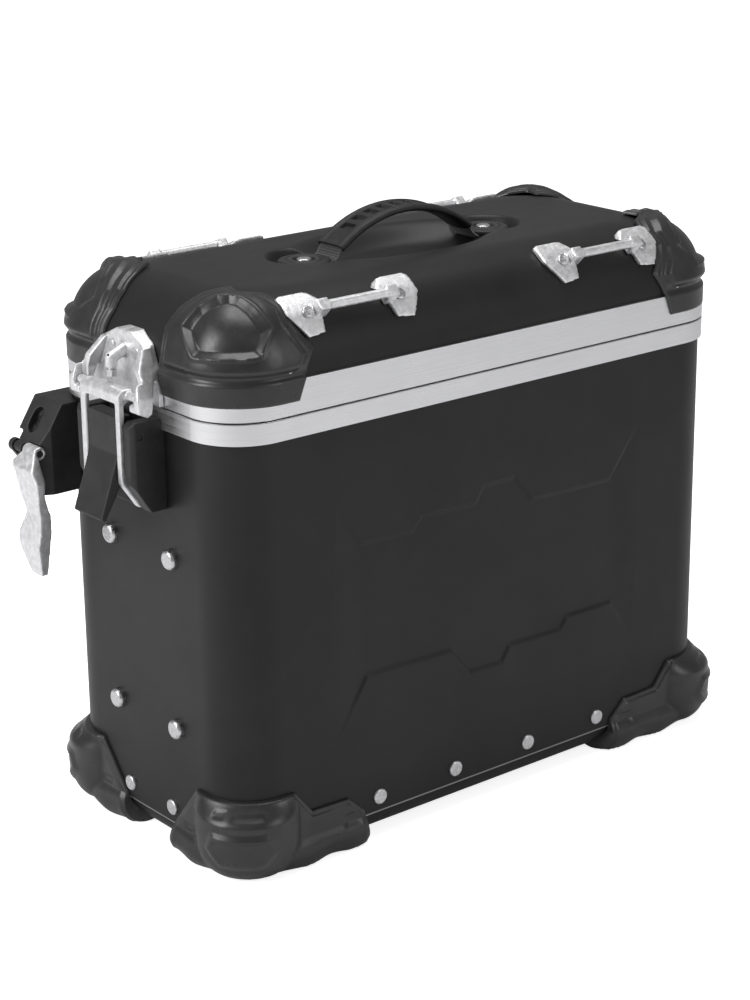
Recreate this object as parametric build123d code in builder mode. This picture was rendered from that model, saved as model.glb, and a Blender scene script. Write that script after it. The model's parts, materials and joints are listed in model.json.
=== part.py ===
"""Aluminium motorcycle side case with a removable lid, a latch at each short end and a rack lock.

Millimetres, +Z up, origin on the ground under the middle of the case. The broad outer face looks
along -Y, the face towards the motorcycle along +Y, and the rack lock is on the short end at -X.
"""

from build123d import *
import os

os.makedirs("parts", exist_ok=True)

# ---- driving dimensions -------------------------------------------------------------------------
LENGTH = 470.0  # body, short end to short end
DEPTH = 217.0  # body, outer face to motorcycle face
SHEET = 1.5  # aluminium sheet
CORNER_R = 39.0  # upright corners
GAP = 0.2  # working gap between neighbouring pieces
FIT = 0.06  # radial clearance of a running pin

WALL_FOOT_Z = 20.0  # lower cut edge of the wall
PAN_Z = 5.0  # underside of the bottom pan
PAN_TOP_Z = 44.0
PAN_EDGE_R = 14.0
RIM_FOOT_Z = 320.0
SPLIT_Z = 335.4  # where the lid meets the body
SPLIT_GAP = 0.8
RIM_TOP_Z = 360.2
RIM_PROUD = 2.5
RIM_INNER = 2.0  # thickness of the rim's inner leg
RIM_WEB = 5.4
LID_TOP_Z = 412.0
LID_EDGE_R = 50.0
SEAL_WIDTH = 2.6
SEAL_DEPTH = 2.4

END_X = LENGTH / 2
FACE_Y = DEPTH / 2
CUT = 2.0  # how far cutting tools run past the stock


# ---- shapes that several pieces share -----------------------------------------------------------
def upright_block(grow, low, high, edge=0.0):
    """Block with the case's plan outline, grown all round, with its lower edge rounded."""
    with BuildPart(mode=Mode.PRIVATE) as block:
        with BuildSketch(Plane.XY.offset(low)):
            RectangleRounded(LENGTH + 2 * grow, DEPTH + 2 * grow, CORNER_R + grow)
        extrude(amount=high - low)
        if edge:
            fillet(block.edges().group_by(Axis.Z)[0], edge)
    return block.part


def rolled_bar(plane, width, top, roll, reach):
    """Bar along the plane's normal whose two upper edges are rounded."""
    low = top - 2 * roll
    with BuildPart(mode=Mode.PRIVATE) as bar:
        with BuildSketch(plane) as section:
            with Locations((0, (low + top) / 2)):
                Rectangle(width, top - low)
            fillet(section.vertices().group_by(Axis.Y)[-1], roll)
        extrude(amount=reach, both=True)
    return bar.part


def lid_form(grow, low):
    """Solid shape of the lid, grown all round: plan outline with rolled edges round the top."""
    top = LID_TOP_Z + grow
    roll = LID_EDGE_R + grow
    across = rolled_bar(Plane.YZ, DEPTH + 2 * grow, top, roll, LENGTH)
    along = rolled_bar(Plane.XZ, LENGTH + 2 * grow, top, roll, LENGTH)
    return upright_block(grow, low, top) & across & along


def dish(x, rim, floor, floor_z, grow):
    """Pressed dish in the lid top, as the solid it takes away; rim and floor are (x, y) radii."""
    with BuildPart(mode=Mode.PRIVATE) as hollow:
        for radii, height in ((floor, floor_z - grow), (rim, LID_TOP_Z + CUT)):
            with BuildSketch(Plane.XY.offset(height)):
                with Locations((x, 0)):
                    Ellipse(radii[0] + grow, radii[1] + grow)
        loft()
    return hollow.part


def prism(plane, points, reach):
    """Straight bar with a polygon section, running both ways from a plane."""
    with BuildPart(mode=Mode.PRIVATE) as bar:
        with BuildSketch(plane):
            Polygon(*points, align=None)
        extrude(amount=reach, both=True)
    return bar.part


def rod(start, end, radius):
    """Round bar between two points."""
    axis = Vector(*end) - Vector(*start)
    with BuildPart(mode=Mode.PRIVATE) as bar:
        with BuildSketch(Plane(origin=start, z_dir=axis)):
            Circle(radius)
        extrude(amount=axis.length)
    return bar.part


def headed(seat, out, head_r, head_h, shank_r, shank, tail_r=0.0, tail_h=0.0):
    """Fastener on a seat point: domed head outwards, shank inwards, and a tail behind if wanted."""
    away = Vector(*out)
    with BuildPart(mode=Mode.PRIVATE) as fastener:
        with BuildSketch(Plane(origin=seat, z_dir=away)):
            Circle(head_r)
        extrude(amount=head_h)
        crown = fastener.faces().sort_by(Axis(seat, tuple(away)))[-1]
        fillet(crown.edges(), head_h * 0.6)
        with BuildSketch(Plane(origin=seat, z_dir=-away)):
            Circle(shank_r)
        extrude(amount=shank)
        if tail_r:
            with BuildSketch(Plane(origin=Vector(*seat) - away * shank, z_dir=-away)):
                Circle(tail_r)
            extrude(amount=tail_h)
    return fastener.part


def twin(part, plane=Plane.YZ):
    """The same shape on the other side of a plane."""
    return mirror(part, about=plane, mode=Mode.PRIVATE)


def save(part, name):
    """Label a finished piece and write it."""
    part.label = name
    export_step(part, f"parts/{name}.step")


# ---- where the fasteners go ---------------------------------------------------------------------
RIVET_R = 6.0
RIVET_HEAD = 2.2
RIVET_SHANK_R = 2.4
LONG_RIVETS = [(x, side * FACE_Y, 32.3) for side in (-1, 1) for x in (-109.5, -36.5, 36.5, 109.5)]
END_RIVETS = [(side * END_X, y, 33.0) for side in (-1, 1) for y in (-26.9, 26.9)]
BOLT_R = 7.5
BOLT_HEAD = 5.0
BOLT_SHANK_R = 3.0
END_BOLTS = [(side * END_X, y, z) for side in (-1, 1) for y in (-37.2, 37.2) for z in (98.0, 226.0)]


def outward(seat):
    """Unit direction away from the case at a seat on one of its four walls."""
    if abs(abs(seat[0]) - END_X) < CUT:
        return (1 if seat[0] > 0 else -1, 0, 0)
    return (0, 1 if seat[1] > 0 else -1, 0)


def drill(seats, radius, depth):
    """Drills through the walls at a set of seats."""
    holes = []
    for seat in seats:
        away = Vector(*outward(seat))
        middle = Vector(*seat)
        holes.append(rod(tuple(middle + away * CUT), tuple(middle - away * depth), radius))
    return holes


# ---- motorcycle side: hooks over the upper rack tube, pads on the lower one, and the rack lock ---
TUBE_R = 9.0
TUBE_Y = FACE_Y + 14.5
HOOK_Z = 268.0
HOOK_X = 150.0
HOOK_WIDTH = 34.0
HOOK_WALL = 5.0
PAD_Z = 88.0
PAD_R = 20.0
M6_R = 3.0
HOOK_SCREWS = [(side * HOOK_X, FACE_Y, HOOK_Z + dz) for side in (-1, 1) for dz in (-24.0, 24.0)]
PAD_SCREWS = [(side * HOOK_X, FACE_Y, PAD_Z) for side in (-1, 1)]

LOCK_Y = (74.0, 111.0)
LOCK_SCREWS = [(-END_X, 82.0, z) for z in (257.0, 308.0)]
LOCK_SCREW_INSET = 4.5  # the wall curves away behind them

# ---- latch: distances u run outward from the short end ------------------------------------------
BASE_HALF = 35.0  # latch base, half width
BASE_Z = (262.0, 328.0)
BASE_FRONT = 27.0
CHANNEL_HALF = 25.0
LEVER_HALF = 17.5
LEG_IN = 18.5
LEG_OUT = 24.0
PIVOT_U, PIVOT_Z = 20.0, 318.0  # lever on the base
EYE_U, EYE_Z = 12.0, 268.0  # clip on the lever
BAR_U, BAR_Z = 21.0, 345.0  # clip's upper pins, which are also the lid's hinge line
BAR_PIN_R = 3.0
ARM_IN = 31.0  # lid bracket arms
ARM_OUT = 43.0
ARM_SWEEP_R = 19.5  # the arms stay inside this radius below the hinge line
LEVER_PIN_R = 2.5
CLIP_PIN_R = 2.2
LATCH_SCREW_YZ = [(y, z) for y in (-29.5, 29.5) for z in (270.0, 314.0)]
LATCH_SCREWS = [(side * END_X, y, z) for side in (-1, 1) for y, z in LATCH_SCREW_YZ]
LATCH_SCREW_R = 2.4
BRACKET_RIVETS_YZ = [(-15.0, 370.0), (15.0, 370.0)]

CAP_SCREW_R = 1.6
LOWER_CAP_SCREWS = [(sx * 190.0, sy * FACE_Y, 50.0) for sx in (-1, 1) for sy in (-1, 1)]
UPPER_CAP_SCREWS = [(sx * 184.0, sy * FACE_Y, 367.0) for sx in (-1, 1) for sy in (-1, 1)]

# ---- body ---------------------------------------------------------------------------------------
wall_outer = upright_block(0, WALL_FOOT_Z, SPLIT_Z - SPLIT_GAP / 2 - RIM_WEB / 2)
wall_inner = upright_block(-SHEET, WALL_FOOT_Z - CUT, SPLIT_Z + CUT)
wall_drills = (
    drill(LONG_RIVETS + END_RIVETS, RIVET_SHANK_R + FIT, 2 * SHEET + CUT)
    + drill(END_BOLTS + HOOK_SCREWS + PAD_SCREWS, BOLT_SHANK_R + GAP, SHEET + CUT)
    + drill(LATCH_SCREWS, LATCH_SCREW_R + GAP, SHEET + CUT)
    + drill(LOCK_SCREWS, LATCH_SCREW_R + GAP, 2 * LOCK_SCREW_INSET)
    + drill(LOWER_CAP_SCREWS, CAP_SCREW_R + GAP, SHEET + CUT)
)

with BuildPart() as body_shell:
    add(wall_outer)
    add(wall_inner, mode=Mode.SUBTRACT)
    add(wall_drills, mode=Mode.SUBTRACT)
save(body_shell.part, "body_shell")

pan_fit = SHEET + 0.1
pan_outer = upright_block(-pan_fit, PAN_Z, PAN_TOP_Z, PAN_EDGE_R)
pan_inner = upright_block(-pan_fit - SHEET, PAN_Z + SHEET, PAN_TOP_Z + CUT, PAN_EDGE_R - SHEET)
with BuildPart() as bottom_pan:
    add(pan_outer)
    add(pan_inner, mode=Mode.SUBTRACT)
    add(drill(LONG_RIVETS + END_RIVETS, RIVET_SHANK_R + FIT, 2 * SHEET + CUT), mode=Mode.SUBTRACT)
save(bottom_pan.part, "bottom_pan")


def rim_ring(low, high):
    """Ring that stands proud of the sheet outside and laps it inside."""
    outer = upright_block(RIM_PROUD, low, high)
    inner = upright_block(-SHEET - GAP - RIM_INNER, low - CUT, high + CUT)
    return outer - inner


def sheet_slot(low, high):
    """Slot in a rim that takes the edge of the sheet."""
    return upright_block(GAP / 2, low, high) - upright_block(-SHEET - GAP / 2, low - CUT, high + CUT)


body_rim_top = SPLIT_Z - SPLIT_GAP / 2
lid_rim_foot = SPLIT_Z + SPLIT_GAP / 2
body_rim_ring = rim_ring(RIM_FOOT_Z, body_rim_top)
body_rim_slot = sheet_slot(RIM_FOOT_Z - CUT, body_rim_top - RIM_WEB / 2 + GAP)
with BuildPart() as body_rim:
    add(body_rim_ring)
    add(body_rim_slot, mode=Mode.SUBTRACT)
    edges_out = body_rim.faces().sort_by(Axis.Z)[-1].outer_wire().edges()
    chamfer(edges_out, 0.6)
save(body_rim.part, "body_rim")

rivet_shank = 2 * SHEET + 0.1
with BuildPart() as pan_rivets:
    for seat in LONG_RIVETS + END_RIVETS:
        add(headed(seat, outward(seat), RIVET_R, RIVET_HEAD, RIVET_SHANK_R, rivet_shank + GAP, 3.6, 1.2))
save(pan_rivets.part, "pan_rivets")

with BuildPart() as end_bolts:
    for seat in END_BOLTS:
        add(headed(seat, outward(seat), BOLT_R, BOLT_HEAD, BOLT_SHANK_R, SHEET + 7.0))
save(end_bolts.part, "end_bolts")

with BuildPart() as end_bolt_nuts:
    for seat in END_BOLTS:
        away = Vector(*outward(seat))
        with BuildSketch(Plane(origin=Vector(*seat) - away * (SHEET + 0.05), z_dir=-away)):
            RegularPolygon(5.8, 6)
            Circle(BOLT_SHANK_R + FIT, mode=Mode.SUBTRACT)
        extrude(amount=5.0)
save(end_bolt_nuts.part, "end_bolt_nuts")

# ---- lower corner caps --------------------------------------------------------------------------
CAP = 4.2
LOWER_CAP_TOP_Z = 59.5
REACH = LENGTH
lower_front = [
    (-181, LOWER_CAP_TOP_Z),
    (-168, 40.5),
    (-136, 39.5),
    (-123.5, 23.5),
    (-124, 8),
    (-132, -CUT),
    (-END_X - REACH, -CUT),
    (-END_X - REACH, LOWER_CAP_TOP_Z),
]
lower_end = [
    (-61, LOWER_CAP_TOP_Z),
    (-35, 24),
    (-33, 10),
    (-40, -CUT),
    (-FACE_Y - REACH, -CUT),
    (-FACE_Y - REACH, LOWER_CAP_TOP_Z),
]
lower_plan = [(-86, -125), (-260, 3), (-260, -125)]
lower_region = (
    prism(Plane.XZ, lower_front, REACH)
    & prism(Plane.YZ, lower_end, REACH)
    & prism(Plane.XY, lower_plan, REACH)
)
FOOT_BALL_R = 40.0
FOOT_EDGE_R = 8.0
foot_ball = Pos(-206, -80, 38) * Sphere(FOOT_BALL_R) & Pos(-206, -80, FOOT_BALL_R) * Box(100, 100, 80)
foot_pad = Pos(-204, -78, 3) * Cylinder(20, 6)
lower_stock = upright_block(CAP, 1.0, LOWER_CAP_TOP_Z, FOOT_EDGE_R) + foot_ball + foot_pad
lower_case = upright_block(GAP, PAN_Z - GAP, LOWER_CAP_TOP_Z + CUT, PAN_EDGE_R - CUT)
lower_cap_form = (lower_stock & lower_region) - lower_case
lower_cap_form -= rod((-190, -FACE_Y + CUT, 50), (-190, -FACE_Y - 3.2, 50), CAP_SCREW_R + FIT)

with BuildPart() as lower_cap_front_left:
    add(lower_cap_form)
save(lower_cap_front_left.part, "lower_cap_front_left")
with BuildPart() as lower_cap_front_right:
    add(twin(lower_cap_form))
save(lower_cap_front_right.part, "lower_cap_front_right")
with BuildPart() as lower_cap_back_left:
    add(twin(lower_cap_form, Plane.XZ))
save(lower_cap_back_left.part, "lower_cap_back_left")
with BuildPart() as lower_cap_back_right:
    add(twin(twin(lower_cap_form), Plane.XZ))
save(lower_cap_back_right.part, "lower_cap_back_right")


def inside_screw(seat, inset, length):
    """Small pan-head screw put in from inside the case, its point towards the cap."""
    away = Vector(*outward(seat))
    start = Vector(*seat) - away * inset
    return headed(tuple(start), tuple(-away), 3.4, 1.8, CAP_SCREW_R, length)


with BuildPart() as lower_cap_screws:
    for seat in LOWER_CAP_SCREWS:
        add(inside_screw(seat, SHEET + 0.05, SHEET + 2.6))
save(lower_cap_screws.part, "lower_cap_screws")

# ---- lid ----------------------------------------------------------------------------------------
HANDLE_X = 86.0
END_DISH_FLOOR = 404.0
MID_DISH_FLOOR = 398.0


def handle_recess(grow):
    """The dishes under the carrying handle: one at each end and a longer one for the hand."""
    left = dish(-HANDLE_X, (28, 28), (22, 22), END_DISH_FLOOR, grow)
    right = dish(HANDLE_X, (28, 28), (22, 22), END_DISH_FLOOR, grow)
    return left + right + dish(0, (94, 49), (60, 27), MID_DISH_FLOOR, grow)


lid_wall_foot = lid_rim_foot + RIM_WEB
lid_outer = lid_form(0, lid_wall_foot) - handle_recess(0)
lid_inner = lid_form(-SHEET, lid_wall_foot - CUT) - handle_recess(SHEET)

# lashing eyes: two flared feet on the rolled edge with a bar between them
EYE_X = 117.7
EYE_HALF = 39.9
ROLL_Y = -FACE_Y + LID_EDGE_R
ROLL_Z = LID_TOP_Z - LID_EDGE_R
DIAGONAL = 0.7071
EYE_SEATS = [
    (sx * (EYE_X + dx), sy * (-ROLL_Y + LID_EDGE_R * DIAGONAL), ROLL_Z + LID_EDGE_R * DIAGONAL)
    for sx in (-1, 1)
    for sy in (-1, 1)
    for dx in (-EYE_HALF, EYE_HALF)
]
eye_drills = []
for seat in EYE_SEATS:
    lean = Vector(0, DIAGONAL if seat[1] > 0 else -DIAGONAL, DIAGONAL)
    eye_drills.append(rod(tuple(Vector(*seat) + lean * 9), tuple(Vector(*seat) - lean * 9), 2.6))
bracket_drills = [
    rod((sx * (END_X - 10), y, z), (sx * (END_X + 12), y, z), RIVET_SHANK_R + FIT)
    for sx in (-1, 1)
    for y, z in BRACKET_RIVETS_YZ
]
handle_drills = [rod((x, 0, 380), (x, 0, 420), M6_R + GAP) for x in (-HANDLE_X, HANDLE_X)]

with BuildPart() as lid_shell:
    add(lid_outer)
    add(lid_inner, mode=Mode.SUBTRACT)
    add(eye_drills + bracket_drills + handle_drills, mode=Mode.SUBTRACT)
    add(drill(UPPER_CAP_SCREWS, CAP_SCREW_R + GAP, SHEET + CUT), mode=Mode.SUBTRACT)
save(lid_shell.part, "lid_shell")

seal_out = -0.4
seal_ring = upright_block(seal_out, body_rim_top + 0.1, lid_rim_foot + SEAL_DEPTH)
seal_ring -= upright_block(seal_out - SEAL_WIDTH, SPLIT_Z - CUT, RIM_TOP_Z)
seal_groove = upright_block(seal_out + 0.1, SPLIT_Z - CUT, lid_rim_foot + SEAL_DEPTH + 0.1)
seal_groove -= upright_block(seal_out - SEAL_WIDTH - 0.1, SPLIT_Z - 2 * CUT, RIM_TOP_Z)
lid_rim_ring = rim_ring(lid_rim_foot, RIM_TOP_Z)
lid_rim_slot = sheet_slot(lid_wall_foot - GAP, RIM_TOP_Z + CUT)
with BuildPart() as lid_rim:
    add(lid_rim_ring)
    add([lid_rim_slot, seal_groove], mode=Mode.SUBTRACT)
    chamfer(lid_rim.faces().sort_by(Axis.Z)[0].outer_wire().edges(), 0.6)
save(lid_rim.part, "lid_rim")

with BuildPart() as lid_seal:
    add(seal_ring)
save(lid_seal.part, "lid_seal")

# ---- upper corner caps --------------------------------------------------------------------------
SKIRT_Z = 345.5
GROOVE_Z = (361.0, 365.0)
upper_front = [
    (-174, LID_TOP_Z + 18),
    (-177, 413),
    (-184, 406),
    (-182, 396),
    (-165, 386),
    (-165, 379),
    (-172, 362),
    (-178, 348),
    (-181, SKIRT_Z),
    (-END_X - REACH, SKIRT_Z),
    (-END_X - REACH, LID_TOP_Z + 18),
]
upper_end = [
    (-47, LID_TOP_Z + 18),
    (-39, 402),
    (-32, 386),
    (-39, 373),
    (-41.5, 360),
    (-44, SKIRT_Z),
    (-FACE_Y - REACH, SKIRT_Z),
    (-FACE_Y - REACH, LID_TOP_Z + 18),
]
upper_plan = [(-100, -125), (-260, 17), (-260, -125)]
upper_region = (
    prism(Plane.XZ, upper_front, REACH)
    & prism(Plane.YZ, upper_end, REACH)
    & prism(Plane.XY, upper_plan, REACH)
)
shield_region = (
    prism(Plane.XZ, [(-186, 440), (-186, 380), (-200, 367), (-300, 367), (-300, 440)], REACH)
    & prism(Plane.YZ, [(-60, 440), (-60, 380), (-72, 367), (-180, 367), (-180, 440)], REACH)
    & prism(Plane.XY, [(-130, -125), (-260, -10), (-260, -125)], REACH)
)
cap_skirt = upright_block(RIM_PROUD + 2.4, SKIRT_Z, GROOVE_Z[0])
cap_groove = upright_block(RIM_PROUD, GROOVE_Z[0], GROOVE_Z[1])
cap_dome = lid_form(CAP + 1.0, GROOVE_Z[1])
cap_shield = lid_form(CAP + 4.0, GROOVE_Z[1]) & shield_region
upper_stock = cap_skirt + cap_groove + cap_dome + cap_shield
upper_case = lid_form(GAP, SKIRT_Z - CUT) + upright_block(RIM_PROUD + GAP, SKIRT_Z - CUT, RIM_TOP_Z + GAP)
upper_cap_form = (upper_stock & upper_region) - upper_case
upper_cap_form -= rod((-184, -FACE_Y + CUT, 367), (-184, -FACE_Y - 3.6, 367), CAP_SCREW_R + FIT)

with BuildPart() as upper_cap_front_left:
    add(upper_cap_form)
save(upper_cap_front_left.part, "upper_cap_front_left")
with BuildPart() as upper_cap_front_right:
    add(twin(upper_cap_form))
save(upper_cap_front_right.part, "upper_cap_front_right")
with BuildPart() as upper_cap_back_left:
    add(twin(upper_cap_form, Plane.XZ))
save(upper_cap_back_left.part, "upper_cap_back_left")
with BuildPart() as upper_cap_back_right:
    add(twin(twin(upper_cap_form), Plane.XZ))
save(upper_cap_back_right.part, "upper_cap_back_right")

with BuildPart() as upper_cap_screws:
    for seat in UPPER_CAP_SCREWS:
        add(inside_screw(seat, SHEET + 0.9, SHEET + 3.8))
save(upper_cap_screws.part, "upper_cap_screws")

# ---- lashing eyes -------------------------------------------------------------------------------
EYE_THICK = 4.0
EYE_BAR_R = 3.5
EYE_BAR_OUT = LID_EDGE_R + 9.0
foot_outline = [(-17, 23), (-17, 14), (-6, -0.5), (8, 1), (11.5, 14), (16, 19), (9, 24), (-9, 27)]
outer_foot = [(-EYE_X - EYE_HALF + x, 386 + z) for x, z in foot_outline]
inner_foot = [(-2 * EYE_X - x, z) for x, z in reversed(outer_foot)]
eye_skin = lid_form(EYE_THICK, ROLL_Z) - lid_form(GAP, ROLL_Z - CUT)
eye_front = Pos(-EYE_X, -FACE_Y, ROLL_Z) * Box(120, 2 * 26.5, 120)
eye_feet = eye_skin & eye_front & (prism(Plane.XZ, outer_foot, REACH) + prism(Plane.XZ, inner_foot, REACH))
bar_y = ROLL_Y - EYE_BAR_OUT * DIAGONAL
bar_z = ROLL_Z + EYE_BAR_OUT * DIAGONAL
bar_reach = EYE_HALF - 10.0
eye_bar = rod((-EYE_X - bar_reach, bar_y, bar_z), (-EYE_X + bar_reach, bar_y, bar_z), EYE_BAR_R)
eye_lift = (LID_EDGE_R + 1.0 + EYE_BAR_OUT + EYE_BAR_R) / 2
eye_horn_length = EYE_BAR_OUT + EYE_BAR_R - LID_EDGE_R - 1.0
eye_horns = [
    Pos(-EYE_X + side * bar_reach, ROLL_Y - eye_lift * DIAGONAL, ROLL_Z + eye_lift * DIAGONAL)
    * Rot(45, 0, 0)
    * Box(9, 9, eye_horn_length)
    for side in (-1, 1)
]
lashing_eye_form = eye_feet + eye_bar + eye_horns
lashing_eye_form -= [d for d, s in zip(eye_drills, EYE_SEATS) if s[0] < 0 and s[1] < 0]

with BuildPart() as lashing_eye_front_left:
    add(lashing_eye_form)
save(lashing_eye_front_left.part, "lashing_eye_front_left")
with BuildPart() as lashing_eye_front_right:
    add(twin(lashing_eye_form))
save(lashing_eye_front_right.part, "lashing_eye_front_right")
with BuildPart() as lashing_eye_back_left:
    add(twin(lashing_eye_form, Plane.XZ))
save(lashing_eye_back_left.part, "lashing_eye_back_left")
with BuildPart() as lashing_eye_back_right:
    add(twin(twin(lashing_eye_form), Plane.XZ))
save(lashing_eye_back_right.part, "lashing_eye_back_right")

with BuildPart() as lashing_eye_screws:
    for seat in EYE_SEATS:
        lean = Vector(0, DIAGONAL if seat[1] > 0 else -DIAGONAL, DIAGONAL)
        under_head = tuple(Vector(*seat) + lean * (EYE_THICK + GAP))
        add(headed(under_head, tuple(lean), 4.6, 1.8, 2.4, 9.0, 4.0, 2.6))
save(lashing_eye_screws.part, "lashing_eye_screws")

# ---- carrying handle ----------------------------------------------------------------------------
DISC_R = 19.5
DISC_THICK = 6.0
STRAP_HALF = 13.0
STRAP_THICK = 3.0
GRIP_TOP_Z = 440.0
GRIP_THICK = 7.5
STRAP_FOOT_Z = END_DISH_FLOOR + 0.3


def handle_band(thick, half, inner, reach_x):
    """Band that arches over the hand space, of one thickness, between plus and minus reach_x."""
    arch_z = GRIP_TOP_Z - GRIP_THICK / 2
    with BuildPart(mode=Mode.PRIVATE) as band:
        with BuildSketch(Plane.XZ) as side:
            with BuildLine():
                low = ThreePointArc((-64, 409), (0, arch_z - thick / 2), (64, 409))
                high = ThreePointArc((-64, 409 + thick), (0, arch_z + thick / 2), (64, 409 + thick))
                Line(low @ 0, high @ 0)
                Line(low @ 1, high @ 1)
            make_face()
            with Locations((0, 400)):
                Rectangle(2 * reach_x, 120, mode=Mode.INTERSECT)
        extrude(amount=half, both=True)
        if inner:
            add(inner, mode=Mode.SUBTRACT)
    return band.part


strap_arch = handle_band(STRAP_THICK, STRAP_HALF, None, 64)
with BuildPart() as handle_strap:
    add(strap_arch)
    for side in (-1, 1):
        with BuildSketch(Plane.XY.offset(STRAP_FOOT_Z)):
            with Locations((side * 75, 0)):
                Rectangle(22, 2 * STRAP_HALF)
            with Locations((side * HANDLE_X, 0)):
                Circle(STRAP_HALF)
                Circle(M6_R + GAP, mode=Mode.SUBTRACT)
        extrude(amount=STRAP_THICK)
        with BuildSketch(Plane.XZ):
            Polygon(
                (side * 66, STRAP_FOOT_Z),
                (side * 62.5, STRAP_FOOT_Z),
                (side * 61, 414),
                (side * 64, 412),
                (side * 66, STRAP_FOOT_Z + STRAP_THICK),
                align=None,
            )
        extrude(amount=STRAP_HALF, both=True)
save(handle_strap.part, "handle_strap")

grip_core = handle_band(STRAP_THICK + 2 * GAP, STRAP_HALF + GAP, None, 64)
with BuildPart() as handle_grip:
    add(handle_band(GRIP_THICK, STRAP_HALF + 3.0, grip_core, 52))
save(handle_grip.part, "handle_grip")


def end_disc(x):
    """Round retainer that clamps the strap's end, slotted towards the middle for the strap."""
    with BuildPart(mode=Mode.PRIVATE) as disc:
        with BuildSketch(Plane.XY.offset(END_DISH_FLOOR + 0.1)):
            with Locations((x, 0)):
                Circle(DISC_R)
        extrude(amount=DISC_THICK)
        fillet(disc.edges().group_by(Axis.Z)[-1], 1.6)
        with Locations((x, 0, END_DISH_FLOOR + 0.1 + DISC_THICK)):
            CounterBoreHole(M6_R + GAP, 6.0, 2.0, DISC_THICK)
    strap_room = Pos(x * 0.83, 0, STRAP_FOOT_Z + STRAP_THICK / 2)
    strap_room *= Box(30, 2 * STRAP_HALF + 2 * GAP, STRAP_THICK + 2 * GAP)
    tip_room = Pos(x, 0, STRAP_FOOT_Z + STRAP_THICK / 2)
    tip_room *= Cylinder(STRAP_HALF + GAP, STRAP_THICK + 2 * GAP)
    return disc.part - strap_room - tip_room


disc_left_form = end_disc(-HANDLE_X)
disc_right_form = end_disc(HANDLE_X)
with BuildPart() as handle_disc_left:
    add(disc_left_form)
save(handle_disc_left.part, "handle_disc_left")
with BuildPart() as handle_disc_right:
    add(disc_right_form)
save(handle_disc_right.part, "handle_disc_right")

with BuildPart() as handle_screws:
    for x in (-HANDLE_X, HANDLE_X):
        seat_z = END_DISH_FLOOR + 0.1 + DISC_THICK - 2.0 + 0.05
        add(headed((x, 0, seat_z), (0, 0, 1), 5.4, 2.2, M6_R, seat_z - END_DISH_FLOOR + 3.0, 6.0, 4.0))
save(handle_screws.part, "handle_screws")


# ---- latch at the -X end; the other end's pieces are its mirror image ---------------------------
def out(u, z):
    """Point in the side view of the left latch: distance outward from the short end, and height."""
    return (-END_X - u, z)


def side_prism(points, half, inner=0.0):
    """Side-view outline given as (u, z), made as wide as plus and minus half, less the inner width."""
    shape = prism(Plane.XZ, [out(u, z) for u, z in points], half)
    if inner:
        shape -= Pos(-END_X, 0, 300) * Box(200, 2 * inner, 400)
    return shape


def cross_rod(u, z, radius, low, high):
    """Round bar along Y in the left latch's side view."""
    return rod((-END_X - u, low, z), (-END_X - u, high, z), radius)


base_outline = [
    (GAP, BASE_Z[0]),
    (13, BASE_Z[0]),
    (BASE_FRONT, 284),
    (BASE_FRONT, 325),
    (24, BASE_Z[1]),
    (RIM_PROUD + GAP, BASE_Z[1]),
    (RIM_PROUD + GAP, RIM_FOOT_Z - GAP),
    (GAP, RIM_FOOT_Z - GAP),
]
base_channel = [(5.0, 240), (60, 240), (60, 350), (5.0, 350)]
base_holes = [cross_rod(PIVOT_U, PIVOT_Z, LEVER_PIN_R + FIT / 2, -BASE_HALF - CUT, BASE_HALF + CUT)]
for y, z in LATCH_SCREW_YZ:
    base_holes.append(rod((-END_X + CUT, y, z), (-END_X - 9, y, z), LATCH_SCREW_R + FIT))
latch_base_form = (
    side_prism(base_outline, BASE_HALF) - side_prism(base_channel, CHANNEL_HALF) - base_holes
)
with BuildPart() as left_latch_base:
    add(latch_base_form)
    upright = left_latch_base.edges().filter_by(Axis.Z).sort_by(Axis.X)
    chamfer([e for e in upright if abs(e.center().Y) > BASE_HALF - 0.1 and e.center().X < -END_X - 20], 2.5)
save(left_latch_base.part, "left_latch_base")

lever_outline = [
    (16, 329.5),
    (27.5, 329.5),
    (27.5, 302),
    (43, 258.5),
    (39.5, 256.5),
    (24, 283),
    (16, 279),
    (16, EYE_Z - 3),
    (12, EYE_Z - 4.5),
    (8, EYE_Z - 3),
    (7.5, EYE_Z + 2),
    (14, 300),
]
lever_holes = [
    cross_rod(PIVOT_U, PIVOT_Z, LEVER_PIN_R + FIT, -LEVER_HALF - CUT, LEVER_HALF + CUT),
    cross_rod(EYE_U, EYE_Z, CLIP_PIN_R, -LEVER_HALF - CUT, LEVER_HALF + CUT),
]
with BuildPart() as left_latch_lever:
    add(side_prism(lever_outline, LEVER_HALF) - lever_holes)
save(left_latch_lever.part, "left_latch_lever")

with BuildPart() as left_lever_pin:
    add(cross_rod(PIVOT_U, PIVOT_Z, LEVER_PIN_R, -BASE_HALF + 1, BASE_HALF - 1))
save(left_lever_pin.part, "left_lever_pin")

with BuildPart() as left_clip_pin:
    add(cross_rod(EYE_U, EYE_Z, CLIP_PIN_R - 0.01, -LEG_OUT, LEG_OUT))
save(left_clip_pin.part, "left_clip_pin")

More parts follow.
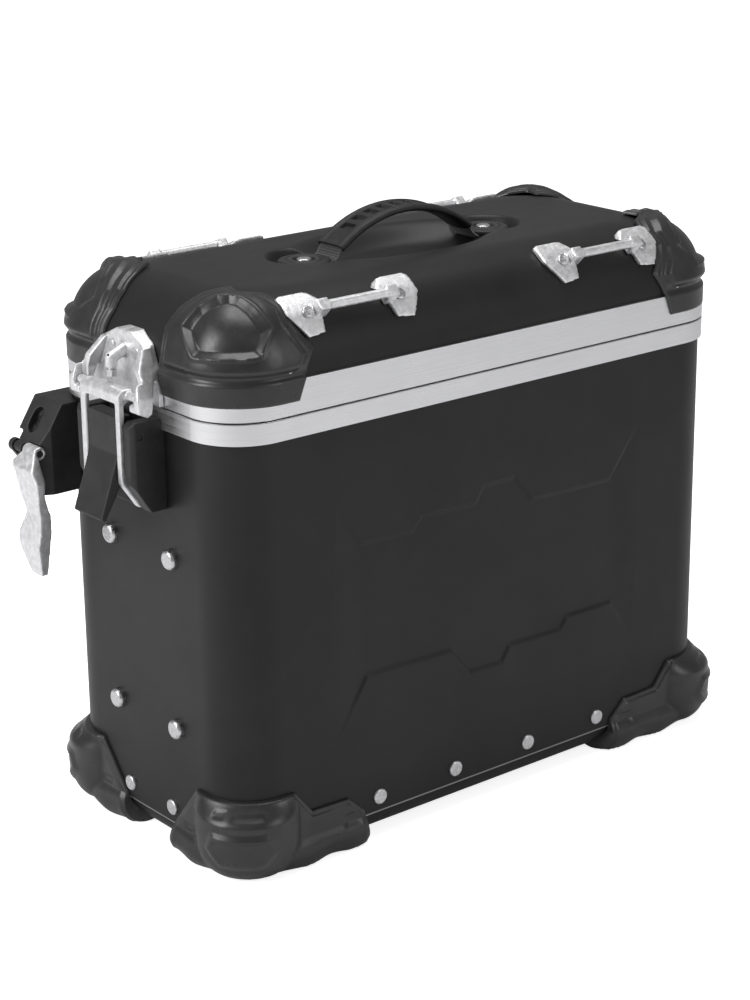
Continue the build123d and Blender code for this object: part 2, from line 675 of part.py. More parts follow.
clip_leg = [
    (25.5, 349.5),
    (29, 346),
    (29, 283),
    (16, EYE_Z - 4),
    (11, EYE_Z - 4.5),
    (7.5, EYE_Z - 1),
    (8.5, EYE_Z + 3),
    (13, EYE_Z + 4.5),
    (25, 284),
    (25, 339),
]
clip_bridge = [(16.5, 341.5), (25, 338.5), (29, 339.5), (29, 346), (25.5, 349.5), (18, 349.5)]
clip_form = side_prism(clip_leg, LEG_OUT, LEG_IN) + side_prism(clip_bridge, LEG_OUT)
clip_form += cross_rod(BAR_U, BAR_Z, BAR_PIN_R, -ARM_IN - 5.0, ARM_IN + 5.0)
clip_form -= cross_rod(EYE_U, EYE_Z, CLIP_PIN_R + FIT, -LEG_OUT - CUT, LEG_OUT + CUT)
with BuildPart() as left_latch_clip:
    add(clip_form)
save(left_latch_clip.part, "left_latch_clip")

# lid bracket: a plate on the lid's end with an arm each side that reaches round the clip's pins
plate_yz = [
    (-40, 337),
    (-40, 347),
    (-34, 362),
    (-24, 377),
    (-9, 384),
    (9, 384),
    (24, 377),
    (34, 362),
    (40, 347),
    (40, 337),
]
PLATE_FRONT = 6.8
plate_block = prism(Plane.YZ, plate_yz, REACH) & Pos(-END_X - PLATE_FRONT + 15, 0, 360) * Box(30, 120, 80)
arm_outline = [
    (1.0, 380),
    (PLATE_FRONT, 379),
    (23.5, 353),
    (26, 345),
    (25, 336),
    (18, 332.5),
    (14, 335),
    (13, 345),
    (5.5, 362),
]
arm_sweep = cross_rod(BAR_U, BAR_Z, ARM_SWEEP_R, -ARM_OUT - CUT, ARM_OUT + CUT)
arm_above = Pos(-END_X - 20, 0, BAR_Z + 40) * Box(60, 120, 80)
ARM_LEAN_Y = 20.0  # the arms lean in towards the plate's top
arm_stock = side_prism(arm_outline, ARM_OUT, ARM_LEAN_Y) & (arm_sweep + arm_above)
arm_yz = [(ARM_OUT, 320), (ARM_OUT, 346), (26, 376), (ARM_LEAN_Y, 376), (ARM_IN, 354), (ARM_IN, 320)]
arm_lean = prism(Plane.YZ, arm_yz, REACH) + prism(Plane.YZ, [(-y, z) for y, z in arm_yz], REACH)
slot_half = BAR_PIN_R + 0.4  # the clip's pins sit loose in blind slots on the arms' inner sides
SLOT_END_Y = ARM_IN + 6.0
SLOT_TOP_Z = 380.0
SLOT_REACH = 12.0  # the slots open outward and up, where the clip swings away
pin_slot = cross_rod(BAR_U, BAR_Z, slot_half, -SLOT_END_Y, SLOT_END_Y)
slot_sides = [
    (BAR_U - slot_half, BAR_Z),
    (BAR_U, BAR_Z - slot_half),
    (BAR_U + SLOT_REACH, BAR_Z - slot_half - 3),
    (BAR_U + SLOT_REACH, SLOT_TOP_Z),
    (BAR_U - slot_half, SLOT_TOP_Z),
]
pin_slot += side_prism(slot_sides, SLOT_END_Y)
STOP_R = 2.4
STOP_U = 18.0
boss = rod((-END_X - 4, 0, 372), (-END_X - 19, 0, 366), 4.4) + Pos(-END_X - STOP_U, 0, 364) * Cylinder(4.2, 8)
lid_clear = lid_form(GAP, 330) + upright_block(RIM_PROUD + GAP, 325, RIM_TOP_Z + GAP)
CAP_SIDE_Y = 38.6  # beyond this the arms stand off the corner caps
arm_standoff = Pos(-END_X, 0, 394) * (Box(12.6, 120, 100) - Box(20, 2 * CAP_SIDE_Y, 120))
arms = (arm_stock & arm_lean) - arm_standoff
bracket_form = plate_block + arms - pin_slot + boss - lid_clear
for rivet_y, rivet_z in BRACKET_RIVETS_YZ:
    bracket_form -= rod((-END_X - 12, rivet_y, rivet_z), (-END_X + 12, rivet_y, rivet_z), RIVET_SHANK_R + FIT)
bracket_form -= rod((-END_X - STOP_U, 0, 355), (-END_X - STOP_U, 0, 369), STOP_R)
with BuildPart() as left_lid_bracket:
    add(bracket_form)
save(left_lid_bracket.part, "left_lid_bracket")

with BuildPart() as left_bracket_rivets:
    for y, z in BRACKET_RIVETS_YZ:
        seat = (-END_X - PLATE_FRONT - 0.05, y, z)
        add(headed(seat, (-1, 0, 0), 4.6, 1.4, RIVET_SHANK_R, PLATE_FRONT + 3.6, 3.6, 1.4))
save(left_bracket_rivets.part, "left_bracket_rivets")

with BuildPart() as left_stop_screw:
    with BuildSketch(Plane.XY.offset(353.5)):
        with Locations((-END_X - STOP_U, 0)):
            RegularPolygon(3.9, 6)
    extrude(amount=5.0)
    with BuildSketch(Plane.XY.offset(358.5)):
        with Locations((-END_X - STOP_U, 0)):
            Circle(STOP_R - 0.02)
    extrude(amount=9.0)
save(left_stop_screw.part, "left_stop_screw")

BACKING_Z = 290.0
with BuildPart() as left_backing_plate:
    with BuildSketch(Plane.YZ.offset(-END_X + SHEET + 0.05)):
        with Locations((0, BACKING_Z)):
            RectangleRounded(76, 54, 6)
            with Locations(*[(y, z - BACKING_Z) for y, z in LATCH_SCREW_YZ]):
                Circle(LATCH_SCREW_R + GAP, mode=Mode.SUBTRACT)
    extrude(amount=2.0)
save(left_backing_plate.part, "left_backing_plate")


def screw_set(seats, washer, reach, head_r=4.6):
    """Screws put in from inside the case: head behind a washer or plate, shank out through the wall."""
    screws = []
    for seat in seats:
        away = Vector(*outward(seat))
        start = Vector(*seat) - away * (SHEET + washer)
        screws.append(headed(tuple(start), tuple(-away), head_r, 3.0, LATCH_SCREW_R, SHEET + washer + reach))
    return screws


with BuildPart() as left_latch_screws:
    add(screw_set([s for s in LATCH_SCREWS if s[0] < 0], 2.15, 8.0))
save(left_latch_screws.part, "left_latch_screws")

for piece, name in (
    (left_latch_base, "latch_base"),
    (left_latch_lever, "latch_lever"),
    (left_lever_pin, "lever_pin"),
    (left_clip_pin, "clip_pin"),
    (left_latch_clip, "latch_clip"),
    (left_lid_bracket, "lid_bracket"),
    (left_bracket_rivets, "bracket_rivets"),
    (left_stop_screw, "stop_screw"),
    (left_backing_plate, "backing_plate"),
    (left_latch_screws, "latch_screws"),
):
    save(twin(piece.part), f"right_{name}")

# ---- rack lock ----------------------------------------------------------------------------------
LOCK_PIVOT_U, LOCK_PIVOT_Z = 33.5, 282.5
LOCK_PIN_R = 2.5
KNUCKLE_Y = (74.5, 91.5)  # the lever's eye, which lies in a groove of the housing
KNUCKLE_R = 5.0
BOSS_R, BOSS_START_Y = 4.0, 95.0
HOOK_SIDE_Y, HOOK_ROOM_Z = 105.0, 293.0  # the housing is cut back here to make room for the hook
KEY_Y, KEY_U, KEY_Z = 96.0, 22.0, 301.0
BARREL_R = 5.8
housing_outline = [(-22, 250), (30, 250), (35, 262), (35, 270), (32, 288), (14, 316), (-22, 316)]
lock_mid = (LOCK_Y[0] + LOCK_Y[1]) / 2
lock_half = (LOCK_Y[1] - LOCK_Y[0]) / 2
housing_stock = Pos(0, lock_mid, 0) * side_prism(housing_outline, lock_half)
housing_stock -= upright_block(GAP, 200, 330)
housing_stock += cross_rod(LOCK_PIVOT_U, LOCK_PIVOT_Z, BOSS_R, BOSS_START_Y, LOCK_Y[1])
hook_room_outline = [(-7, 240), (60, 240), (60, HOOK_ROOM_Z), (-7, HOOK_ROOM_Z)]
hook_room = Pos(0, HOOK_SIDE_Y + 10, 0) * side_prism(hook_room_outline, 10)
knuckle_groove = cross_rod(
    LOCK_PIVOT_U, LOCK_PIVOT_Z, KNUCKLE_R + 0.6, LOCK_Y[0] - CUT, KNUCKLE_Y[1] + 0.6
)
shaft_hole = cross_rod(LOCK_PIVOT_U, LOCK_PIVOT_Z, LOCK_PIN_R + FIT, LOCK_Y[0] - CUT, LOCK_Y[1] + CUT)
key_slope = (18.0, 28.0)  # fall of the slanted face: outward, downward
slope_length = (key_slope[0] ** 2 + key_slope[1] ** 2) ** 0.5
key_normal = Vector(-key_slope[1] / slope_length, 0, key_slope[0] / slope_length)
key_plane = Plane(origin=(-END_X - KEY_U, KEY_Y, KEY_Z), x_dir=(0, 1, 0), z_dir=key_normal)
KEY_DEPTH = 12.0
with BuildPart() as key_pocket:
    with BuildSketch(key_plane.offset(CUT)):
        SlotOverall(20, 12.4, rotation=90)
    extrude(amount=-CUT - 4.0)
    with BuildSketch(key_plane.offset(CUT)):
        Circle(BARREL_R + FIT)
    extrude(amount=-CUT - KEY_DEPTH - 0.1)
lock_screw_holes = [
    rod((x + 6, y, z), (x - 9, y, z), LATCH_SCREW_R + FIT) for x, y, z in LOCK_SCREWS
]
with BuildPart() as rack_lock_housing:
    add(housing_stock - [hook_room, knuckle_groove, shaft_hole, key_pocket.part] - lock_screw_holes)
    facet = [(-END_X - 20, LOCK_Y[0] - CUT), (-END_X - 40, LOCK_Y[0] - CUT), (-END_X - 40, LOCK_Y[0] + 8)]
    add(prism(Plane.XY, facet, REACH), mode=Mode.SUBTRACT)
save(rack_lock_housing.part, "rack_lock_housing")

with BuildPart() as lock_barrel:
    with BuildSketch(key_plane.offset(-4.2)):
        Circle(BARREL_R)
    extrude(amount=-KEY_DEPTH + 4.4)
    with BuildSketch(key_plane.offset(-4.2)):
        Rectangle(1.6, 7.0)
    extrude(amount=-4.0, mode=Mode.SUBTRACT)
save(lock_barrel.part, "lock_barrel")

blade_side = [
    (36.0, LOCK_PIVOT_Z),
    (38.4, LOCK_PIVOT_Z),
    (44.5, 272),
    (42.5, 251),
    (40, 238),
    (43, 214),
    (39.5, 192),
    (34, 192),
    (31, 238),
    (36.3, 252),
]
blade_front = [
    (74.5, LOCK_PIVOT_Z),
    (91.5, LOCK_PIVOT_Z),
    (98, 275.5),
    (94, 268),
    (92, 259),
    (87.5, 241),
    (89, 235),
    (97, 221),
    (94, 208),
    (86, 192),
    (72, 192),
    (70, 205),
    (67, 226),
    (69, 241),
    (66, 252),
    (65, 264),
    (69, 272),
]
lever_eye = cross_rod(LOCK_PIVOT_U, LOCK_PIVOT_Z, KNUCKLE_R, *KNUCKLE_Y)
lock_lever_form = (prism(Plane.YZ, blade_front, REACH) & side_prism(blade_side, 130)) + lever_eye
lock_lever_form -= cross_rod(LOCK_PIVOT_U, LOCK_PIVOT_Z, LOCK_PIN_R, LOCK_Y[0], LOCK_Y[1])
with BuildPart() as rack_lock_lever:
    add(lock_lever_form)
save(rack_lock_lever.part, "rack_lock_lever")

CATCH_THICK = 5.0
CATCH_Y = (HOOK_SIDE_Y + 0.5, HOOK_SIDE_Y + 0.5 + CATCH_THICK)
CATCH_U, CATCH_Z = 8.0, 262.0
CATCH_R = 6.0
HOOK_EYE_R = 4.8
with BuildPart() as rack_lock_shaft:
    add(cross_rod(LOCK_PIVOT_U, LOCK_PIVOT_Z, LOCK_PIN_R - 0.01, KNUCKLE_Y[0] + 0.5, CATCH_Y[1] - 0.5))
save(rack_lock_shaft.part, "rack_lock_shaft")

catch_mid = (CATCH_Y[0] + CATCH_Y[1]) / 2
catch_plate = cross_rod(CATCH_U, CATCH_Z, CATCH_R + 6, *CATCH_Y)
catch_plate += cross_rod(LOCK_PIVOT_U, LOCK_PIVOT_Z, HOOK_EYE_R, *CATCH_Y)
neck_outline = [(30.5, 286), (36.5, 279), (18, 254), (10, 262)]
catch_neck = Pos(0, catch_mid, 0) * side_prism(neck_outline, CATCH_THICK / 2)
catch_mouth = cross_rod(CATCH_U, CATCH_Z, CATCH_R, CATCH_Y[0] - CUT, CATCH_Y[1] + CUT)
mouth_outline = [(3.2, 258.4), (-9, 274), (1, 282), (12.8, 265.6)]
catch_mouth += Pos(0, catch_mid, 0) * side_prism(mouth_outline, 8.0)
catch_form = catch_plate + catch_neck - catch_mouth
catch_form -= cross_rod(LOCK_PIVOT_U, LOCK_PIVOT_Z, LOCK_PIN_R, CATCH_Y[0] - CUT, CATCH_Y[1] + CUT)
with BuildPart() as rack_lock_hook:
    add(catch_form)
save(rack_lock_hook.part, "rack_lock_hook")

with BuildPart() as rack_lock_screws:
    add(screw_set(LOCK_SCREWS, LOCK_SCREW_INSET - SHEET + 1.4, 8.0))
save(rack_lock_screws.part, "rack_lock_screws")

# ---- rack hooks and pads ------------------------------------------------------------------------
HOOK_PLATE = 4.0
HOOK_PLATE_HALF = 34.0


def rack_hook(x):
    """Hook that hangs over the upper rack tube, on a plate against the case."""
    plane = Plane(origin=(x - HOOK_WIDTH / 2, 0, 0), x_dir=(0, 1, 0), z_dir=(1, 0, 0))
    outer_r = TUBE_R + HOOK_WALL
    with BuildPart(mode=Mode.PRIVATE) as hook:
        with BuildSketch(plane):
            with Locations((TUBE_Y, HOOK_Z)):
                Circle(outer_r)
            with Locations((TUBE_Y + outer_r / 2, HOOK_Z - 5)):
                Rectangle(outer_r, 10)
            with Locations((FACE_Y + 0.1 + HOOK_PLATE / 2, HOOK_Z)):
                Rectangle(HOOK_PLATE, 2 * HOOK_PLATE_HALF)
            with Locations((TUBE_Y, HOOK_Z)):
                Circle(TUBE_R, mode=Mode.SUBTRACT)
            with Locations((TUBE_Y, HOOK_Z - 20)):
                Rectangle(2 * TUBE_R, 40, mode=Mode.SUBTRACT)
            with Locations((TUBE_Y + 10, HOOK_Z - 24)):
                Rectangle(30, 28, mode=Mode.SUBTRACT)
        extrude(amount=HOOK_WIDTH)
    holes = [
        rod((x, y - CUT, z), (x, y + 12, z), M6_R + GAP) for seat_x, y, z in HOOK_SCREWS if seat_x == x
    ]
    return hook.part - holes


with BuildPart() as rack_hooks:
    for side in (-1, 1):
        add(rack_hook(side * HOOK_X))
save(rack_hooks.part, "rack_hooks")

PAD_THICK = TUBE_Y - TUBE_R - FACE_Y - 0.1
with BuildPart() as support_pads:
    for x, y, z in PAD_SCREWS:
        with BuildSketch(Plane(origin=(x, y + 0.1, z), z_dir=(0, 1, 0))):
            Circle(PAD_R)
            Circle(M6_R + GAP, mode=Mode.SUBTRACT)
        extrude(amount=PAD_THICK)
    for x, y, z in PAD_SCREWS:
        with Locations(Plane(origin=(x, y + 0.1 + PAD_THICK, z), z_dir=(0, 1, 0))):
            Cylinder(8.0, 4.0, mode=Mode.SUBTRACT)
save(support_pads.part, "support_pads")

with BuildPart() as rack_screws:
    for x, y, z in HOOK_SCREWS:
        seat = (x, y + HOOK_PLATE + 0.15, z)
        add(headed(seat, (0, 1, 0), 5.6, 3.2, M6_R, HOOK_PLATE + SHEET + 4.0, 5.6, 4.0))
    for x, y, z in PAD_SCREWS:
        seat = (x, y + PAD_THICK - 2.0 + 0.15, z)
        add(headed(seat, (0, 1, 0), 5.4, 1.6, M6_R, PAD_THICK - 2.0 + SHEET + 3.0, 5.6, 4.0))
save(rack_screws.part, "rack_screws")
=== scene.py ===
"""Looks of the aluminium side case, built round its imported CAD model. Metres, +Z up."""

import json
import math

import bmesh
import bpy
import numpy as np
from mathutils import Matrix, Vector


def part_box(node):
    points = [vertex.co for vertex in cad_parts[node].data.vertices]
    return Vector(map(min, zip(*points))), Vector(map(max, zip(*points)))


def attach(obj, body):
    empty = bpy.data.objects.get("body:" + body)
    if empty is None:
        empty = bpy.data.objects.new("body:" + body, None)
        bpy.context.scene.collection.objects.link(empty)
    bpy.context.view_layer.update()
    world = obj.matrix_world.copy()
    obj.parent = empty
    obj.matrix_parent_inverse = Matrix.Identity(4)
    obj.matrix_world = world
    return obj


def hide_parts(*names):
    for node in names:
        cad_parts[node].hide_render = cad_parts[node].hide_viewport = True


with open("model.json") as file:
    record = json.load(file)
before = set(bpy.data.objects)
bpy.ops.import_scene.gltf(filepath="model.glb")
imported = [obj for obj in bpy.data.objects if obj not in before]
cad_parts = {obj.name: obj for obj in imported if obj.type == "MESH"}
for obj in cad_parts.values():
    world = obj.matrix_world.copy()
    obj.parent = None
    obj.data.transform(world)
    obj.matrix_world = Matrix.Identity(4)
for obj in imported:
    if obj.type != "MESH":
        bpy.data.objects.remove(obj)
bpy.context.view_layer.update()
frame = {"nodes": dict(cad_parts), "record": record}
nodes = frame["nodes"]
MM = 0.001

# ---- sizes read from the frame ------------------------------------------------------------------
wall_low, wall_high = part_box("body_shell")
lid_low, lid_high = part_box("lid_shell")
rim_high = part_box("lid_rim")[1]
HALF_X = wall_high.x  # body half length
HALF_Y = wall_high.y  # body half depth
WALL_FOOT = wall_low.z
WALL_TOP = wall_high.z
LID_FOOT = lid_low.z
LID_TOP = lid_high.z
RIM_TOP = rim_high.z
RIM_PROUD = rim_high.x - HALF_X

# ---- the case's own sheet sizes, which the frame does not give ---------------------------------
SHEET = 1.5 * MM
CORNER_R = 39 * MM
ROLL_R = 50 * MM  # rolled edge between the lid's wall and its top
ROLL_Z = LID_TOP - ROLL_R
QUARTER = ROLL_R * math.pi / 2  # length of skin round the rolled edge


# ---- mesh helpers -------------------------------------------------------------------------------
def make_object(name, verts, faces, sharp=None):
    """Mesh object from points and faces, smooth shaded, with edges over the sharp angle kept."""
    mesh = bpy.data.meshes.new(name)
    mesh.from_pydata([tuple(map(float, v)) for v in verts], [], faces)
    mesh.update()
    obj = bpy.data.objects.new(name, mesh)
    bpy.context.scene.collection.objects.link(obj)
    shade(obj, sharp)
    return obj


def shade(obj, sharp=None):
    """Smooth shading, keeping edges sharper than the given number of degrees."""
    obj.data.polygons.foreach_set("use_smooth", [True] * len(obj.data.polygons))
    if sharp:
        obj.data.set_sharp_from_angle(angle=math.radians(sharp))


def weld(obj, distance=1e-6):
    """Joins points that coincide, drops faces of no area and makes the normals point out."""
    bm = bmesh.new()
    bm.from_mesh(obj.data)
    bmesh.ops.remove_doubles(bm, verts=bm.verts, dist=distance)
    bmesh.ops.dissolve_degenerate(bm, edges=bm.edges, dist=distance)
    bmesh.ops.recalc_face_normals(bm, faces=bm.faces)
    bm.to_mesh(obj.data)
    bm.free()


def sheet_solid(name, outer, inner, wrap=False, closed_end=False, sharp=None):
    """Closed solid between two grids of points (rows, columns, xyz). Wrapped grids are rings;
    closed_end means that the last row folds onto itself and needs no wall."""
    rows, cols = outer.shape[:2]
    count = rows * cols
    verts = np.concatenate([outer.reshape(-1, 3), inner.reshape(-1, 3)])
    col_pairs = [(j, (j + 1) % cols) for j in range(cols if wrap else cols - 1)]
    faces = []
    for i in range(rows - 1):
        for j, k in col_pairs:
            a, b, c, d = i * cols + j, i * cols + k, (i + 1) * cols + k, (i + 1) * cols + j
            faces.append((a, b, c, d))
            faces.append((count + d, count + c, count + b, count + a))
    ends = [0] if closed_end else [0, rows - 1]
    for i in ends:
        for j, k in col_pairs:
            a, b = i * cols + j, i * cols + k
            faces.append((b, a, count + a, count + b))
    if not wrap:
        for j in (0, cols - 1):
            for i in range(rows - 1):
                a, b = i * cols + j, (i + 1) * cols + j
                faces.append((a, b, count + b, count + a))
    obj = make_object(name, verts, faces)
    weld(obj)
    shade(obj, sharp)
    return obj


def spread(stations, step):
    """Values from the first station to the last through all between, none further apart than step."""
    values = [stations[0]]
    for low, high in zip(stations, stations[1:]):
        parts = max(1, round(abs(high - low) / step))
        values.extend(low + (high - low) * (n + 1) / parts for n in range(parts))
    return np.array(values)


def smoothstep(x, low, high):
    """0 below low, 1 above high and a smooth rise between."""
    t = np.clip((x - low) / (high - low), 0, 1)
    return t * t * (3 - 2 * t)


def quarter_round(x):
    """Rise of a quarter circle from 0 at x = 0 to 1 at x = 1 and beyond."""
    return np.sqrt(1 - (1 - np.clip(x, 0, 1)) ** 2)


def polyline_distance(px, py, points, closed=True):
    """Distance from each (px, py) to a polyline."""
    best = np.full(np.shape(px), 1e9)
    ends = points[1:] + [points[0]] if closed else points[1:]
    for (ax, ay), (bx, by) in zip(points, ends):
        dx, dy = bx - ax, by - ay
        t = np.clip(((px - ax) * dx + (py - ay) * dy) / (dx * dx + dy * dy), 0, 1)
        best = np.minimum(best, np.hypot(px - ax - t * dx, py - ay - t * dy))
    return best


def inside_polygon(px, py, points):
    """True where (px, py) lies inside a polygon."""
    inside = np.zeros(np.shape(px), bool)
    for (ax, ay), (bx, by) in zip(points, points[1:] + [points[0]]):
        if ay == by:
            continue
        crosses = (ay > py) != (by > py)
        inside ^= crosses & (px < ax + (py - ay) * (bx - ax) / (by - ay))
    return inside


def signed_depth(px, py, points):
    """How far inside a polygon each point is; negative outside."""
    distance = polyline_distance(px, py, points)
    return np.where(inside_polygon(px, py, points), distance, -distance)


def in_metres(points):
    """An outline given in millimetres, in metres."""
    return [(a * MM, b * MM) for a, b in points]


def mirrored(points, flip_x, flip_y):
    """The grid on another corner of the case."""
    return points * np.array([-1 if flip_x else 1, -1 if flip_y else 1, 1])


# ---- plan outline of the case -------------------------------------------------------------------
CORNER_STEPS = 14  # steps round a rounded corner


def plan_loop(inset, radius, long_step, short_step, front_step=None):
    """Points round the plan outline, from the middle of the face at -Y, anticlockwise from above.
    The count depends only on the steps, so that loops of any inset join up."""
    hx, hy = HALF_X - inset, HALF_Y - inset
    r = max(radius, 1e-5)
    front = spread([-1.0, 1.0], (front_step or long_step) / HALF_X)
    back = spread([1.0, -1.0], long_step / HALF_X)
    side = spread([-1.0, 1.0], short_step / HALF_Y)
    arc = np.linspace(0, math.pi / 2, CORNER_STEPS + 1)[1:-1]
    loop = [(t * (hx - r), -hy) for t in front]
    loop += [(hx - r + r * math.sin(a), -hy + r - r * math.cos(a)) for a in arc]
    loop += [(hx, t * (hy - r)) for t in side]
    loop += [(hx - r + r * math.cos(a), hy - r + r * math.sin(a)) for a in arc]
    loop += [(t * (hx - r), hy) for t in back]
    loop += [(-hx + r - r * math.sin(a), hy - r + r * math.cos(a)) for a in arc]
    loop += [(-hx, -t * (hy - r)) for t in side]
    loop += [(-hx + r - r * math.cos(a), -hy + r - r * math.sin(a)) for a in arc]
    return np.array(loop)


# ---- body wall with its pressed panel -----------------------------------------------------------
PANEL_UPPER = [
    (-144, 258), (-123, 230), (-76, 228), (-67, 238), (-16, 236),
    (-8, 248), (22, 248), (39, 227), (119, 225), (152, 269),
]
PANEL_LOWER = [
    (145, 94), (123, 125), (77, 125), (70, 116), (18, 117),
    (10, 105), (-21, 106), (-40, 128), (-119, 130), (-155, 76),
]
PANEL_DEPTH = 1.7 * MM
PANEL_STEP = 0.9 * MM  # half width of the pressed step
PANEL_FADE = (118 * MM, 152 * MM)  # the step dies out towards its ends
PANEL_SPAN = (70 * MM, 275 * MM)  # heights with a fine mesh for the step
COARSE, FINE = 6 * MM, 1.3 * MM  # mesh steps round the wall
COARSE_RISE = 5 * MM


def panel_recess(x, z):
    """Depth of the pressed panel at points of the outer face."""
    depth = signed_depth(x, z, in_metres(PANEL_UPPER + PANEL_LOWER))
    far = 1 - smoothstep(np.abs(x), *PANEL_FADE)
    return PANEL_DEPTH * smoothstep(depth, -PANEL_STEP, PANEL_STEP) * far


def build_body_wall():
    """Sheet wall of the body, all round, with the shallow pressed panel in its outer face."""
    heights = np.concatenate([
        spread([WALL_FOOT, PANEL_SPAN[0]], COARSE_RISE)[:-1],
        spread(PANEL_SPAN, FINE),
        spread([PANEL_SPAN[1], WALL_TOP], COARSE_RISE)[1:],
    ])
    grids = []
    for inset in (0, SHEET):
        plan = plan_loop(inset, CORNER_R - inset, COARSE, COARSE, FINE)
        grid = np.zeros((len(heights), len(plan), 3))
        grid[..., :2] = plan
        grid[..., 2] = heights[:, None]
        front = grid[..., 1] < -HALF_Y + 2 * SHEET
        grid[..., 1] += np.where(front, panel_recess(grid[..., 0], grid[..., 2]), 0)
        grids.append(grid)
    return sheet_solid("body_wall", *grids, wrap=True, sharp=50)


# ---- lid with rolled edges and the dished handle recess -----------------------------------------
HANDLE_X = 86 * MM
END_DISH_R = (22 * MM, 29 * MM)
END_DISH_DEPTH = 8 * MM
MID_DISH_HALF = (96 * MM, 50 * MM)
MID_DISH_DEPTH = 14 * MM
MID_DISH_FLAT = 0.52  # share of the oval that is flat at the bottom
LID_STEP, LID_END_STEP = 2.4 * MM, 4 * MM  # mesh steps along the lid's long and short sides


def handle_dish(x, y):
    """Depth of the pressed recess in the lid's top."""
    ends = np.hypot(np.abs(x) - HANDLE_X, y)
    end_depth = END_DISH_DEPTH * (1 - smoothstep(ends, *END_DISH_R))
    oval = np.hypot(x / MID_DISH_HALF[0], y / MID_DISH_HALF[1])
    mid_depth = MID_DISH_DEPTH * (1 - smoothstep(oval, MID_DISH_FLAT, 1.0))
    return np.maximum(end_depth, mid_depth)


def lid_profile():
    """(inset, height) pairs up the wall, round the rolled edge and in to the centre line."""
    wall = [(0.0, z) for z in spread([LID_FOOT, ROLL_Z], COARSE_RISE)]
    roll = [
        (ROLL_R * (1 - math.cos(a)), ROLL_Z + ROLL_R * math.sin(a))
        for a in np.linspace(0, math.pi / 2, 33)[1:]
    ]
    top = [(inset, LID_TOP) for inset in spread([ROLL_R, HALF_Y], 1.6 * MM)[1:]]
    return wall + roll + top


def build_lid():
    """Drawn lid: wall, rolled edges and dished top in one sheet."""
    grids = []
    for skin in (0.0, SHEET):
        rows = []
        for inset, z in lid_profile():
            radius = min(CORNER_R, HALF_Y - inset) - skin
            if ROLL_Z < z < LID_TOP:  # the skin's thickness is measured square to the rolled edge
                share = (z - ROLL_Z) / ROLL_R
                within, drop = inset + skin * math.sqrt(1 - share * share), skin * share
            else:
                within, drop = min(inset + skin, HALF_Y), skin if z >= ROLL_Z else 0.0
                radius = max(radius, 0)
            loop = plan_loop(within, radius, LID_STEP, LID_END_STEP)
            top = np.where(inset >= ROLL_R * 0.8, handle_dish(loop[:, 0], loop[:, 1]), 0)
            rows.append(np.column_stack([loop, z - drop - top]))
        grids.append(np.array(rows))
    return sheet_solid("lid_cover", *grids, wrap=True, closed_end=True, sharp=60)


# ---- corner caps --------------------------------------------------------------------------------
def corner_point(s, inset, radius):
    """Point and outward direction at arc length s from the middle of the -X -Y corner.
    Negative s runs along the outer face, positive s along the short end."""
    half_arc = radius * math.pi / 4
    cx, cy = -(HALF_X - inset - radius), -(HALF_Y - inset - radius)
    angle = np.clip(math.pi / 4 * (1 + s / half_arc), 0, math.pi / 2)
    nx, ny = -np.sin(angle), -np.cos(angle)
    along = np.maximum(-half_arc - s, 0)
    up_end = np.maximum(s - half_arc, 0)
    return cx + radius * nx + along, cy + radius * ny + up_end, nx, ny


def fine_shares(count, lip):
    """Shares from 0 to 1, even in the middle and close together at both ends."""
    edge = [lip * part for part in (0, 0.15, 0.4, 0.7)]
    return np.array(edge + list(np.linspace(lip, 1 - lip, count)) + [1 - e for e in reversed(edge)])


def along_polyline(points, shares):
    """Points at shares of a polyline's length."""
    pts = np.array(points, float)
    steps = np.hypot(*np.diff(pts, axis=0).T)
    length = np.concatenate([[0], np.cumsum(steps)]) / steps.sum()
    return np.column_stack([np.interp(shares, length, pts[:, 0]), np.interp(shares, length, pts[:, 1])])


def coons(left, right, low, high, rows, cols):
    """Grid of (s, w) points between four boundary polylines that meet at the corners."""
    a, b = along_polyline(left, rows), along_polyline(right, rows)
    c, d = along_polyline(low, cols), along_polyline(high, cols)
    u, v = cols[None, :, None], rows[:, None, None]
    ruled = (1 - u) * a[:, None] + u * b[:, None] + (1 - v) * c[None] + v * d[None]
    corners = (1 - u) * (1 - v) * c[0] + u * (1 - v) * c[-1] + (1 - u) * v * d[0] + u * v * d[-1]
    return ruled - corners


CAP_CORNER_R = 44 * MM  # the caps bridge the case's corner with a larger radius
CAP_SHRINK = 0.9  # how fast that radius falls with the inset
CAP_MIN_R = 2.5 * MM
CAP_GAP = 0.25 * MM
RIM_ROOM = (0.2 * MM, 0.3 * MM)  # room round the rim's face and over its top
CAP_CELLS = 96  # even cells across and up a cap
CAP_LIP = 0.03  # share of a cap's width that gets closer cells at each edge
CAP_EDGE_SHARE = 0.25  # thickness left at the very edge
EDGE_ROUND = 1.3 * MM
PAN_TURN_R = 18 * MM
PAN_FLOOR = 5 * MM
UNDER_W = PAN_FLOOR + PAN_TURN_R * (1 - math.pi / 2)  # skin height at which the bottom goes flat


def cap_radius(inset):
    """Corner radius of a cap's inner skin at an inset."""
    return np.maximum(CAP_CORNER_R - CAP_SHRINK * inset, CAP_MIN_R)


def lid_chart(w):
    """Inset, height and upward lean of the lid's skin at the distance w measured up along it."""
    lean = np.clip((w - ROLL_Z) / ROLL_R, 0, math.pi / 2)
    inset = ROLL_R * (1 - np.cos(lean)) + np.maximum(w - ROLL_Z - QUARTER, 0)
    return inset, np.minimum(w, ROLL_Z) + ROLL_R * np.sin(lean), lean


